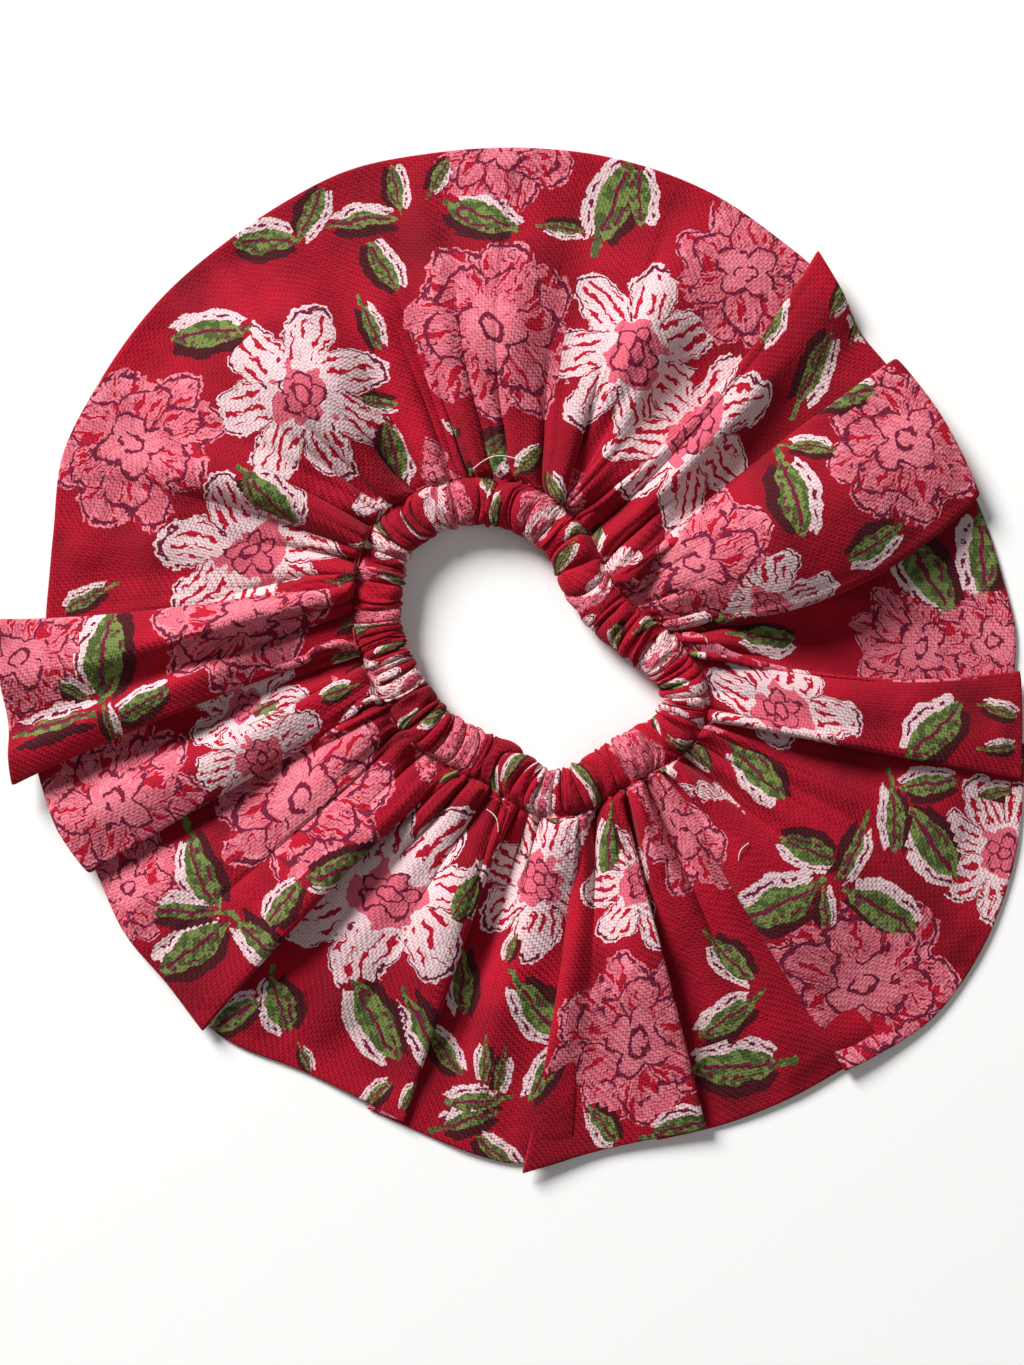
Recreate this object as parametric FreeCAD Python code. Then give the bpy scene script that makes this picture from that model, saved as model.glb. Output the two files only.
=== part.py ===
# Gathered frill scrunchie, lying flat on a table.
#
# One strip of printed cotton is folded along its length into a tube. A row of stitches 9 mm from the
# inner edge makes a channel, the casing, for a loop of braided elastic, and the rest of the tube is a
# wide frill of two layers. The relaxed elastic lies in a loose bean shape, so the hair opening does too.
#
# The cloth and the elastic are each one piece that stretches. They are cut here into eight sectors, one
# for each compass point, so that rigid bodies can follow the ring as two hands pull it open along X.
#
# Frame: millimetres, +Z up, origin under the middle of the whole object, on the table.
import FreeCAD, Part
import math
import os

# ---- driving dimensions ----
casingWidth = 9.0          # inner edge to the row of stitches, laid flat
casingHeight = 5.0         # the gathered channel is puffy
channelWidth = 7.8         # the space inside the casing
channelHeight = 3.2
elasticWidth = 6.0
elasticThickness = 1.0
clothThickness = 0.4       # front ply of cotton with its nap
backThickness = 0.6        # back ply, gathered finer, lying on the table
allowanceWidth = 3.6       # raw edges of the long seam, turned into the channel
allowanceThickness = 0.5
sectorGap = 0.3            # between neighbouring sectors
joinGap = 0.3              # between the casing and the frill
casingBase = 0.3           # the frill holds the casing just off the table
sewnLevel = 3.0            # underside of the front ply where it is sewn to the casing
sewnSpace = 0.4            # between the two plies there
ringPoints = 40            # points that guide each curve round the ring
rows = 12                  # rows of points across the frill, evenly spaced
liftRows = 2               # the back ply has come down to the table at this row
edgeLevel = 1.1            # underside of the front ply at the outer fold
foldWrap = 0.7             # cloth in the outer fold
loft = 3.4                 # how far the front ply billows between casing and outer fold
stitchPitch = 2.6
stitchLength = 1.8
threadRadius = 0.2
lapAzimuth = 266.0         # where the elastic's two ends overlap
lapHalf = 15.0             # half the overlap, in degrees
lapGap = 0.05              # air between the elastic, its lap and the raw edges above it
tackLength = 9.0           # zigzag that sews the overlap
closingAzimuth = 262.0     # where the elastic was threaded in
cornerTrim = 1.0           # off casing_e, whose corner would catch frill_ne as the ring is pulled
seamAzimuth = 280.0        # where the strip's short ends are joined
endSeamInner = 40.0        # end seam, from the ring's centre
endSeamOuter = 84.0
endSeamWidth = 6.0

ringCentre = FreeCAD.Vector(0.9, 2.4, 0)

# Hair opening: azimuth in degrees and radius in millimetres about the ring's centre.
holeShape = [(0, 16.5), (15, 13.4), (35, 12.2), (55, 13.3), (75, 17.5), (95, 21.3), (115, 23.6),
             (135, 25.0), (155, 22.5), (175, 19.7), (195, 17.4), (220, 16.4), (250, 15.8), (270, 17.4),
             (288, 22.6), (306, 22.6), (322, 24.3), (340, 27.2)]

# Outer fold of the frill, the same way round.
frillShape = [(0, 90), (12, 87.6), (28, 86), (39, 84.5), (50, 88.6), (58, 86), (72, 89.8), (88, 89.8),
              (108, 91), (130, 89.7), (150, 89.2), (168, 86), (178, 89.6), (192, 92.6), (203, 88.6),
              (216, 87), (230, 88.4), (242, 85.2), (256, 88.2), (270, 93.8), (277, 91.3), (296, 94.2),
              (314, 98.2), (332, 98.8), (346, 93)]

# Folds of the front layer: azimuth, half width in degrees, height in millimetres.
folds = [(186, 9, 9.5), (202, 7, 7), (217, 8, 4), (122, 11, 5.5), (98, 7, 3.5), (79, 6, 4), (66, 6, 5),
         (53, 7, 8.5), (29, 10, 7.5), (357, 8, 4.5), (334, 10, 2), (310, 9, 2.5), (286, 7, 3.5),
         (271, 6, 4.5), (255, 8, 3), (234, 9, 4), (150, 10, 2)]

sectors = {"e": 0, "ne": 45, "n": 90, "nw": 135, "w": 180, "sw": 225, "s": 270, "se": 315}
halfSector = 22.5


# ---- curves ----
def smoothRadius(shape, azimuth):
    """Radius of a closed outline at an azimuth, on a smooth curve through its points."""
    azimuth %= 360
    count = len(shape)
    here = max((i for i in range(count) if shape[i][0] <= azimuth), default=0)
    a, b, c, d = (shape[(here + step) % count] for step in (-1, 0, 1, 2))
    span = (c[0] - b[0]) % 360
    share = (azimuth - b[0]) / span
    slopeIn = (c[1] - a[1]) / ((c[0] - a[0]) % 360) * span
    slopeOut = (d[1] - b[1]) / ((d[0] - b[0]) % 360) * span
    return (b[1] * (2 * share**3 - 3 * share**2 + 1) + slopeIn * (share**3 - 2 * share**2 + share)
            + c[1] * (3 * share**2 - 2 * share**3) + slopeOut * (share**3 - share**2))


def polar(azimuth, radius, height=0.0):
    turn = math.radians(azimuth)
    return ringCentre + FreeCAD.Vector(radius * math.cos(turn), radius * math.sin(turn), height)


def azimuthOf(point):
    return math.degrees(math.atan2(point.y - ringCentre.y, point.x - ringCentre.x)) % 360


def holePoint(azimuth):
    return polar(azimuth, smoothRadius(holeShape, azimuth))


def offsetHole(distance, start):
    """Points of the hair opening's outline, moved outwards by a distance, from a starting azimuth."""
    points = []
    for i in range(ringPoints):
        azimuth = start + 360.0 * i / ringPoints
        along = holePoint(azimuth + 3) - holePoint(azimuth - 3)
        outwards = FreeCAD.Vector(along.y, -along.x, 0).normalize()
        points.append(holePoint(azimuth) + outwards * distance)
    return points


def ringPath(distance, start):
    """Closed smooth curve that runs round the ring at a distance from the hair opening."""
    curve = Part.BSplineCurve()
    curve.interpolate(offsetHole(distance, start), PeriodicFlag=True)
    return curve


def parameterAt(path, azimuth, start):
    """Place on a ring path that lies at an azimuth, found by halving."""
    low, high = path.FirstParameter, path.LastParameter
    for step in range(40):
        middle = (low + high) / 2
        if (azimuthOf(path.value(middle)) - start) % 360 < (azimuth - start) % 360:
            low = middle
        else:
            high = middle
    return low


def sectorPath(distance, height, middle, trim, half=None, lastTrim=0.0):
    """Open stretch of a ring path over one sector, shortened by trim at both ends."""
    half = half or halfSector
    opposite = middle - 180
    path = ringPath(distance, opposite)
    path.translate(FreeCAD.Vector(0, 0, height))
    first = parameterAt(path, middle - half, opposite)
    last = parameterAt(path, middle + half, opposite)
    length = path.length(first, last)
    first = path.parameterAtDistance(trim, first)
    last = path.parameterAtDistance(length - 2 * trim - lastTrim, first)
    return Part.Edge(path, first, last)


# ---- heights of the frill ----
def sewnRadius(azimuth):
    """Radius of the frill's inner edge at an azimuth."""
    path = ringPath(casingWidth + joinGap, azimuth - 180)
    return (path.value(parameterAt(path, azimuth, azimuth - 180)) - ringCentre).Length


def foldHeight(azimuth):
    total = 0.0
    for centre, halfWidth, height in folds:
        away = abs((azimuth - centre + 180) % 360 - 180) / halfWidth
        if away < 1.6:
            total += height * math.cos(away / 1.6 * math.pi / 2) ** 2
    return total


def frontUnder(azimuth, share):
    """Underside of the front ply; share runs from 0 at the casing to 1 at the outer fold."""
    billow = loft * math.sin(math.pi * share)
    rise = math.sin(math.pi / 2 * min(1.0, share * 3)) * (1 - 0.65 * share)
    return sewnLevel + (edgeLevel - sewnLevel) * share + billow + foldHeight(azimuth) * rise


def frontTop(azimuth, share):
    return frontUnder(azimuth, share) + clothThickness


def backUnder(azimuth, share):
    """Underside of the back ply, which lies on the table and climbs to the row of stitches."""
    climb = max(0.0, 1 - share * rows / liftRows)
    return (sewnLevel - sewnSpace - backThickness) * climb ** 1.5


def backTop(azimuth, share):
    return backUnder(azimuth, share) + backThickness


# ---- solids of the frill ----
def frillPoint(azimuth, share, height, side, wrap):
    """Point of the frill, moved sideways so that a sector's edges lie in one plane."""
    radius = sewnRadii[azimuth] * (1 - share) + (smoothRadius(frillShape, azimuth) - wrap) * share
    sideways = math.degrees(math.asin(sectorGap / 2 / radius)) * -side
    return polar(azimuth + sideways, radius, height)


def frillSurface(middle, level, wrap=0.0, reach=rows, around=13):
    """Smooth surface over one sector, at the heights that level gives."""
    grid = []
    for i in range(around):
        side = 2 * i / (around - 1) - 1
        azimuth = middle + halfSector * side
        grid.append([frillPoint(azimuth, row / rows, level(azimuth, row / rows), side, wrap)
                     for row in range(reach + 1)])
    surface = Part.BSplineSurface()
    surface.interpolate(grid)
    return surface


def edgesOf(surface):
    """Edges of a surface: first side, last side, inner end and outer end."""
    u0, u1, v0, v1 = surface.bounds()
    return [c.toShape() for c in (surface.uIso(u0), surface.uIso(u1), surface.vIso(v0), surface.vIso(v1))]


def ends(edge):
    return edge.valueAt(edge.FirstParameter), edge.valueAt(edge.LastParameter)


def frill(middle):
    """One sector of the frill: front ply, outer fold and back ply in one solid, open to the casing."""
    outer = frillSurface(middle, frontTop)
    inner = frillSurface(middle, frontUnder, foldWrap)
    backInner = frillSurface(middle, backTop, foldWrap)
    backOuter = frillSurface(middle, backUnder, reach=liftRows)
    outerEdges, innerEdges = edgesOf(outer), edgesOf(inner)
    backEdges, liftEdges = edgesOf(backInner), edgesOf(backOuter)
    tableEdge = edgesOf(frillSurface(middle, lambda azimuth, share: 0.0))[3]
    faces = [s.toShape() for s in (outer, inner, backInner, backOuter)]
    faces.append(Part.makeRuledSurface(outerEdges[3], tableEdge))
    faces.append(Part.makeRuledSurface(innerEdges[3], backEdges[3]))
    faces.append(Part.makeRuledSurface(outerEdges[2], innerEdges[2]))
    faces.append(Part.makeRuledSurface(backEdges[2], liftEdges[2]))
    sides = []
    for end in (0, 1):
        onTable = Part.makeLine(ends(tableEdge)[end], ends(liftEdges[3])[end])
        sides.append(onTable)
        loop = [outerEdges[end], innerEdges[end], backEdges[end], liftEdges[end], onTable,
                Part.makeLine(ends(outerEdges[3])[end], ends(tableEdge)[end]),
                Part.makeLine(ends(innerEdges[3])[end], ends(backEdges[3])[end]),
                Part.makeLine(ends(outerEdges[2])[end], ends(innerEdges[2])[end]),
                Part.makeLine(ends(backEdges[2])[end], ends(liftEdges[2])[end])]
        faces.append(Part.Face(Part.Wire(Part.__sortEdges__(loop))))
    faces.append(Part.Face(Part.Wire(Part.__sortEdges__([tableEdge, liftEdges[3]] + sides))))
    skin = Part.makeCompound(faces)
    skin.sewShape(1e-3)
    solid = Part.makeSolid(skin.Shells[0])
    if solid.Volume < 0:
        solid.reverse()
    return solid


# ---- solids that follow the ring ----
def roundedSection(width, height, corner, path):
    """Rounded rectangle across a path's start, centred on it."""
    start = path.valueAt(path.FirstParameter)
    along = path.tangentAt(path.FirstParameter)
    across = FreeCAD.Vector(along.y, -along.x, 0).normalize()
    w, h = width / 2, height / 2
    bulge = corner * (1 - math.sqrt(0.5))
    sides = [((-w + corner, -h), (w - corner, -h)), ((w, -h + corner), (w, h - corner)),
             ((w - corner, h), (-w + corner, h)), ((-w, h - corner), (-w, -h + corner))]
    corners = [(w - bulge, -h + bulge), (w - bulge, h - bulge),
               (-w + bulge, h - bulge), (-w + bulge, -h + bulge)]
    edges = []
    for i, (first, second) in enumerate(sides):
        following = sides[(i + 1) % 4][0]
        a, b, c, d = (start + across * p[0] + FreeCAD.Vector(0, 0, p[1])
                      for p in (first, second, corners[i], following))
        edges += [Part.makeLine(a, b), Part.Arc(b, c, d).toShape()]
    return Part.Wire(edges)


def band(middle, distance, level, width, height, corner, trim=sectorGap / 2, half=None, lastTrim=0.0):
    """Band of rounded rectangular section over one sector of the ring."""
    path = sectorPath(distance, level, middle, trim, half, lastTrim)
    sweep = Part.BRepOffsetAPI.MakePipeShell(Part.Wire([path]))
    sweep.setBiNormalMode(FreeCAD.Vector(0, 0, 1))
    sweep.add(roundedSection(width, height, corner, path))
    sweep.build()
    sweep.makeSolid()
    return sweep.shape()


def casing(middle):
    """One sector of the channel for the elastic, hollow and open at both ends."""
    skin = band(middle, casingWidth / 2, casingMiddle, casingWidth, casingHeight, 2.2,
                lastTrim=cornerTrim if middle == sectors["e"] else 0.0)
    space = band(middle, casingWidth / 2, casingMiddle, channelWidth, channelHeight, 1.3, -1.0)
    return skin.cut(space)


def stitchRow(middle, distance, radius, *levels):
    """Short lengths of thread in line over one sector, at the height that each level gives."""
    path = sectorPath(distance, 0.0, middle, sectorGap)
    count = int(path.Length / stitchPitch)
    spare = (path.Length - (count - 1) * stitchPitch) / 2
    stitches = []
    for i in range(count):
        parameter = path.getParameterByLength(spare + i * stitchPitch)
        along, place = path.tangentAt(parameter), path.valueAt(parameter)
        for level in levels:
            start = place + FreeCAD.Vector(0, 0, level(azimuthOf(place))) - along * (stitchLength / 2)
            stitches.append(Part.makeCylinder(radius, stitchLength, start, along))
    return Part.makeCompound(stitches)


def aboveSewing(azimuth):
    return frontTop(azimuth, 0.02) + threadRadius + 0.15


def belowSewing(azimuth):
    return backUnder(azimuth, 0.02) - threadRadius - 0.15


def aboveAllowance(azimuth):
    return allowanceLevel + allowanceThickness / 2 + seamThreadRadius + 0.05


# ---- pieces found in one place only ----
def turnedTo(shape, direction, place):
    """Moves a shape made about the origin, lying along +X, to a place and direction."""
    turn = math.degrees(math.atan2(direction.y, direction.x))
    shape.rotate(FreeCAD.Vector(0, 0, 0), FreeCAD.Vector(0, 0, 1), turn)
    shape.translate(place)
    return shape


def onRing(shape, azimuth, distance, height):
    path = ringPath(distance, azimuth - 180)
    parameter = parameterAt(path, azimuth, azimuth - 180)
    return turnedTo(shape, path.tangent(parameter)[0], path.value(parameter) + FreeCAD.Vector(0, 0, height))


def onRadius(shape, azimuth, height):
    return turnedTo(shape, polar(azimuth, 1) - ringCentre, ringCentre + FreeCAD.Vector(0, 0, height))


def zigzagTack():
    """Zigzag of thread that holds the elastic's two ends together."""
    legs = 8
    step = tackLength / legs
    bars = []
    for i in range(legs):
        side = 0.6 if i % 2 else -0.6
        start = FreeCAD.Vector(-tackLength / 2 + i * step, side, 0)
        reach = FreeCAD.Vector(step * 0.7, -2 * side, 0)
        bars.append(Part.makeCylinder(tackRadius, reach.Length, start, reach))
    return Part.makeCompound(bars)


def closingStitches():
    """Close stitches over the gap through which the elastic was threaded."""
    return Part.makeCompound([Part.makeCylinder(0.15, 1.0, FreeCAD.Vector(-6 + i * 1.4, 0, 0),
                                                FreeCAD.Vector(1, 0, 0)) for i in range(9)])


def endSeamAllowance():
    """Raw edges of the strip's short ends, pressed to one side between the two plies."""
    return Part.makeBox(endSeamOuter - endSeamInner, endSeamWidth, 0.8,
                        FreeCAD.Vector(endSeamInner, -endSeamWidth / 2, 0))


def endSeamStitches():
    count = int((endSeamOuter - endSeamInner - 4) / stitchPitch)
    return Part.makeCompound([Part.makeCylinder(threadRadius, stitchLength,
                                                FreeCAD.Vector(endSeamInner + 2 + i * stitchPitch, 0, 0),
                                                FreeCAD.Vector(1, 0, 0)) for i in range(count)])


def looseThread():
    """Loose end left where the row of stitches was finished."""
    path = Part.Arc(FreeCAD.Vector(0, 0, 0), FreeCAD.Vector(1.8, 0.7, 0.5), FreeCAD.Vector(3.6, 0, 0.9))
    edge = path.toShape()
    ring = Part.makeCircle(0.12, FreeCAD.Vector(0, 0, 0), edge.tangentAt(edge.FirstParameter))
    return Part.Wire([edge]).makePipeShell([Part.Wire([ring])], True, True)


sewnRadii = {middle + halfSector * (i / 6 - 1): sewnRadius(middle + halfSector * (i / 6 - 1))
             for middle in sectors.values() for i in range(13)}
casingMiddle = casingBase + casingHeight / 2
elasticLevel = casingMiddle - channelHeight / 2 + elasticThickness / 2 + 0.15
lapLevel = elasticLevel + elasticThickness + lapGap
allowanceLevel = lapLevel + elasticThickness / 2 + lapGap + allowanceThickness / 2
seamThreadRadius = 0.15
tackRadius = 0.12


def buildParts():
    parts = {}
    for name, middle in sectors.items():
        parts["frill_" + name] = frill(middle)
        parts["casing_" + name] = casing(middle)
        parts["elastic_" + name] = band(middle, casingWidth / 2, elasticLevel, elasticWidth,
                                        elasticThickness, 0.3)
        parts["seam_allowance_" + name] = band(middle, casingWidth / 2 - 1.2, allowanceLevel,
                                               allowanceWidth, allowanceThickness, 0.15)
        parts["casing_stitch_" + name] = stitchRow(middle, casingWidth + joinGap + 0.8, threadRadius,
                                                   aboveSewing, belowSewing)
        parts["seam_thread_" + name] = stitchRow(middle, casingWidth / 2 - 1.2, seamThreadRadius,
                                                 aboveAllowance)
    parts["elastic_lap"] = band(lapAzimuth, casingWidth / 2, lapLevel, elasticWidth, elasticThickness,
                                0.3, 0.0, lapHalf)
    parts["lap_tack_thread"] = onRing(zigzagTack(), lapAzimuth, casingWidth / 2 + 2.2,
                                      lapLevel + elasticThickness / 2 + tackRadius + lapGap)
    parts["closing_stitch"] = onRing(closingStitches(), closingAzimuth, casingWidth + joinGap + 1.5,
                                     aboveSewing(closingAzimuth) + 0.8)
    parts["end_seam_allowance"] = onRadius(endSeamAllowance(), seamAzimuth, backThickness + 0.1)
    parts["end_seam_thread"] = onRadius(endSeamStitches(), seamAzimuth, backThickness + 1.2)
    parts["loose_thread"] = onRing(looseThread(), closingAzimuth + 12, casingWidth + joinGap + 1.6,
                                   aboveSewing(closingAzimuth + 12) + 0.3)
    return parts


def main():
    """Builds every part and moves the whole object so the origin is under its middle."""
    parts = buildParts()
    box = FreeCAD.BoundBox()
    for shape in parts.values():
        box.add(shape.BoundBox)
    shift = FreeCAD.Vector(-box.Center.x, -box.Center.y, -box.ZMin)
    os.makedirs("parts", exist_ok=True)
    for name, shape in parts.items():
        shape.translate(shift)
        print(name, "solids", len(shape.Solids), "valid", shape.isValid(), "mm3", round(shape.Volume, 1))
        shape.exportStep("parts/" + name + ".step")
    print("moved by", shift, "box", box)


main()
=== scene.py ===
import bmesh
import bpy
import math
import numpy as np
from functools import partial
from mathutils import Matrix, Vector


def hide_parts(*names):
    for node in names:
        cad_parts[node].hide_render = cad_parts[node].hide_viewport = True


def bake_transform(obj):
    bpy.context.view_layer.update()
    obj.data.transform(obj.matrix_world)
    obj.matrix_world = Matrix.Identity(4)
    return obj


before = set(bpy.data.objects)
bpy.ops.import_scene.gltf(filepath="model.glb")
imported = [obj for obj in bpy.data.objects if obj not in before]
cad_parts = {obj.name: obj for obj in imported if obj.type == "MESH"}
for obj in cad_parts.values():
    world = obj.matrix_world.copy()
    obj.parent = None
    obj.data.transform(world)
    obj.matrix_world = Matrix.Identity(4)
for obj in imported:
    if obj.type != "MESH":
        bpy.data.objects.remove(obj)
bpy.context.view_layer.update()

# every length in the dictionaries below is in millimetres, every direction in degrees
toMetres = 0.001

ring = {
    "centre": (0.45, 2.24),
    # azimuth and radius of the hair opening's edge
    "opening": [(0, 16.5), (15, 13.4), (35, 12.2), (55, 13.3), (75, 17.5), (95, 21.3), (115, 23.6),
                (135, 25.0), (155, 22.5), (175, 19.7), (195, 17.4), (220, 16.4), (250, 15.8),
                (270, 17.4), (288, 22.6), (306, 22.6), (322, 24.3), (340, 27.2)],
    "casingWidth": 9.0,
    "columns": 1056,
}

frill = {
    # lines that run out from the casing: azimuth at the casing, azimuth and radius at the outer
    # fold, height halfway and at the outer fold, sideways bow halfway
    "lines": [
        (2, 357.4, 90.3, 5.6, 2.3, -4), (3, 351.5, 89.5, 2.0, 0.9, -2), (4.5, 362, 90, 1.8, 0.5, 0),
        (6, 368, 88.5, 3.6, 0.7, 0), (7.5, 376, 87.4, 3.0, 0.6, 0), (9, 385, 86.4, 3.0, 1.3, -3),
        (11, 378.6, 87.3, 7.4, 3.6, -7), (16, 384, 86.8, 9.6, 4.4, -4), (25, 391, 86.2, 9.6, 4.4, 0),
        (33, 397.3, 85.3, 7.4, 4.0, 1), (36, 391, 84, 3.6, 2.0, 0), (38.5, 398, 84, 2.2, 0.7, 0),
        (42, 402, 84, 3.0, 0.7, 0), (50, 408, 86.6, 8.6, 4.0, -1), (62, 412.8, 89.2, 8.2, 3.8, -3),
        (65, 409, 87, 4.2, 1.8, -2), (67, 415, 87.4, 2.2, 0.6, 0), (72, 427, 89.2, 8.0, 1.0, 0),
        (79, 441, 90.2, 2.6, 0.5, 2), (88, 447, 90.2, 7.0, 0.8, 4), (101, 460, 90.6, 5.0, 0.8, 2),
        (110, 470, 91.4, 4.0, 0.7, 0), (117, 477, 90.8, 2.4, 0.6, 0), (123, 484, 90.1, 8.4, 1.2, 1),
        (131, 496, 89.9, 7.6, 1.0, 0), (139, 508, 89.3, 5.0, 0.7, -1), (147, 517, 89, 6.8, 0.7, -3),
        (151, 526, 86.2, 1.8, 0.5, -2), (153, 534, 85.2, 1.7, 0.6, 0), (155, 544, 86.5, 3.4, 2.0, 0),
        (157, 536.9, 92.2, 8.2, 5.8, 2), (161, 543, 92.1, 10.2, 7.0, 1), (166, 549.3, 91.9, 6.8, 4.8, 0),
        (171, 552, 92.6, 9.2, 6.2, -1), (177, 555, 93.4, 7.6, 4.8, -1), (180, 547, 89.4, 3.8, 2.8, 0),
        (184, 556, 89, 2.8, 1.9, 0), (190, 562, 88.4, 6.8, 3.8, 0), (199, 567.6, 86.7, 5.8, 2.8, 0),
        (202, 560, 85.4, 2.4, 1.4, 0), (206, 569, 86, 2.2, 0.9, 0), (214, 576, 87.2, 5.8, 1.8, 0),
        (225, 584, 87.2, 5.4, 1.9, 0), (240, 590.5, 88.9, 5.8, 2.4, -1), (243, 584, 86.8, 2.0, 0.9, 0),
        (247, 592, 88, 2.2, 0.5, 0), (256, 604, 85.4, 5.2, 0.7, 0), (267, 616.2, 87.6, 4.8, 1.5, 0),
        (270, 612, 87.2, 2.0, 0.6, 0), (273, 618, 88.8, 2.4, 0.5, 0), (280, 625, 91.4, 5.0, 0.9, 0),
        (287, 629, 92.8, 3.0, 0.6, 1), (289, 636, 92.4, 2.2, 0.9, 1), (292, 630.7, 94.3, 5.8, 2.2, 1),
        (298, 639, 91.7, 5.6, 1.2, 0), (305, 651.2, 92.8, 5.2, 1.8, 0), (307, 646, 92.2, 2.0, 0.5, 0),
        (309, 653, 93.5, 2.4, 0.5, 0), (313, 661, 94.8, 4.6, 0.8, 0), (316, 669, 96.2, 2.4, 0.6, 0),
        (318, 673, 97.4, 2.0, 0.5, 0), (320, 668, 96.2, 4.8, 1.7, 0), (325, 678, 100.2, 4.8, 0.8, 0),
        (331, 688, 99.7, 4.6, 0.6, 0), (336, 698, 97.2, 4.2, 0.6, 0), (338, 709, 93.2, 2.0, 0.5, 0),
        (340, 705.6, 93.5, 4.8, 1.6, 0), (346, 711, 92, 5.2, 1.8, -2)],
    "sewnHeight": 2.9,
    "halfGap": (0.35, 0.5, 0.28),      # half the space between the plies at casing, middle, edge
    "frontRows": 74,
    "puckers": 66,
    "tallest": 5.8,                    # height of a pucker beside the casing
    "overhang": 3.4,                   # how far a pucker bulges over the casing
    "reach": (0.12, 0.42),             # share of the frill's depth over which puckers fade
    "finePleats": 168,
    "fineHeight": 1.3,
    "ridges": 27,
    "ridgeHeight": 4.0,
    "crease": 0.58,
    # depth given for each ply. It isn't the depth of the cut: the modelled plies are 62.4 mm deep
    "cut": 57.0,
}


def throughPoints(places, values, at, period):
    # smooth closed curve through values given at uneven places
    places = np.asarray(places, float)
    values = np.asarray(values, float).reshape(len(places), -1)
    gaps = np.diff(np.append(places, places[0] + period))
    after = (np.roll(values, -1, 0) - values) / gaps[:, None]
    before, gapsBefore = np.roll(after, 1, 0), np.roll(gaps, 1)
    slopes = (before * gaps[:, None] + after * gapsBefore[:, None]) / (gaps + gapsBefore)[:, None]
    at = (np.asarray(at, float) - places[0]) % period + places[0]
    span = np.clip(np.searchsorted(places, at, side="right") - 1, 0, len(places) - 1)
    t, gap = ((at - places[span]) / gaps[span])[:, None], gaps[span][:, None]
    following = (span + 1) % len(places)
    return (values[span] * (2 * t**3 - 3 * t**2 + 1) + slopes[span] * gap * (t**3 - 2 * t**2 + t)
            + values[following] * (3 * t**2 - 2 * t**3) + slopes[following] * gap * (t**3 - t**2))


def softNoise(seed, u, v, around, out):
    # gentle hills, seamless round the ring: u runs from 0 to 1 round it, v from 0 to 1 across
    hills = np.random.default_rng(seed).uniform(-1, 1, (out + 4, around))
    x, y = (u % 1) * around, np.clip(v, 0, 1) * out + 1
    i, j = np.floor(x).astype(int), np.floor(y).astype(int)
    s, t = x - i, y - j
    weights = [lambda f: -0.5 * f**3 + f**2 - 0.5 * f, lambda f: 1.5 * f**3 - 2.5 * f**2 + 1,
               lambda f: -1.5 * f**3 + 2 * f**2 + 0.5 * f, lambda f: 0.5 * f**3 - 0.5 * f**2]
    total = 0
    for a in range(4):
        for b in range(4):
            total = total + weights[a](s) * weights[b](t) * hills[j + b - 1, (i + a - 1) % around]
    return total


def smoothStep(x):
    x = np.clip(x, 0, 1)
    return x * x * (3 - 2 * x)


# ring lines: the hair opening's outline moved outwards, and the arc length round it
azimuths = np.arange(0, 360, 0.25)
openingRadius = throughPoints([a for a, r in ring["opening"]], [r for a, r in ring["opening"]],
                              azimuths, 360)[:, 0]
openingEdge = np.stack([openingRadius * np.cos(np.radians(azimuths)),
                        openingRadius * np.sin(np.radians(azimuths))], 1) + ring["centre"]
along = np.roll(openingEdge, -12, 0) - np.roll(openingEdge, 12, 0)
openingOutwards = np.stack([along[:, 1], -along[:, 0]], 1) / np.linalg.norm(along, axis=1)[:, None]
sewnLine = openingEdge + openingOutwards * ring["casingWidth"]
sewnSteps = np.linalg.norm(np.roll(sewnLine, -1, 0) - sewnLine, axis=1)
sewnAlong = np.append(0, np.cumsum(sewnSteps))
sewnLength = sewnAlong[-1]
sewnAzimuth = np.unwrap(np.arctan2(sewnLine[:, 1] - ring["centre"][1], sewnLine[:, 0] - ring["centre"][0]))


def ringPoint(values, s):
    # value on the ring at an arc length along the sewn line
    s = s % sewnLength
    return np.stack([np.interp(s, sewnAlong, np.append(values[:, k], values[0, k]))
                     for k in range(values.shape[1])], -1)


def arcAt(azimuth):
    # arc length along the sewn line at an azimuth, for azimuths of any turn
    start, turns = math.degrees(sewnAzimuth[0]), math.floor(azimuth / 360)
    wanted = azimuth - 360 * turns
    if wanted < start:
        wanted, turns = wanted + 360, turns - 1
    table = np.append(np.degrees(sewnAzimuth), start + 360)
    return float(np.interp(wanted, table, sewnAlong)) + turns * sewnLength


# cloth coordinate of each line: distance along the outer fold
lines = np.array(frill["lines"], float)
outer = np.stack([lines[:, 2] * np.cos(np.radians(lines[:, 1])) + ring["centre"][0],
                  lines[:, 2] * np.sin(np.radians(lines[:, 1])) + ring["centre"][1], lines[:, 4]], 1)
steps = np.maximum(np.linalg.norm(np.roll(outer, -1, 0) - outer, axis=1), 2.0)
clothAt = np.append(0, np.cumsum(steps))[:-1]
clothLength = float(steps.sum())
arcs = np.array([arcAt(a) for a in lines[:, 0]])
for k in range(1, len(arcs)):
    while arcs[k] < arcs[k - 1]:
        arcs[k] += sewnLength
print("cloth round the outer fold", round(clothLength), "mm, sewn line", round(sewnLength), "mm")


def lineValues(at):
    # outer point, middle height, bow and arc length along the ring at cloth coordinates
    extra = arcs - clothAt * sewnLength / clothLength
    table = np.column_stack([outer, lines[:, 3], lines[:, 5], extra])
    found = throughPoints(clothAt, table, at, clothLength)
    found[:, 5] += (at % clothLength) * sewnLength / clothLength
    return found


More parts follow.
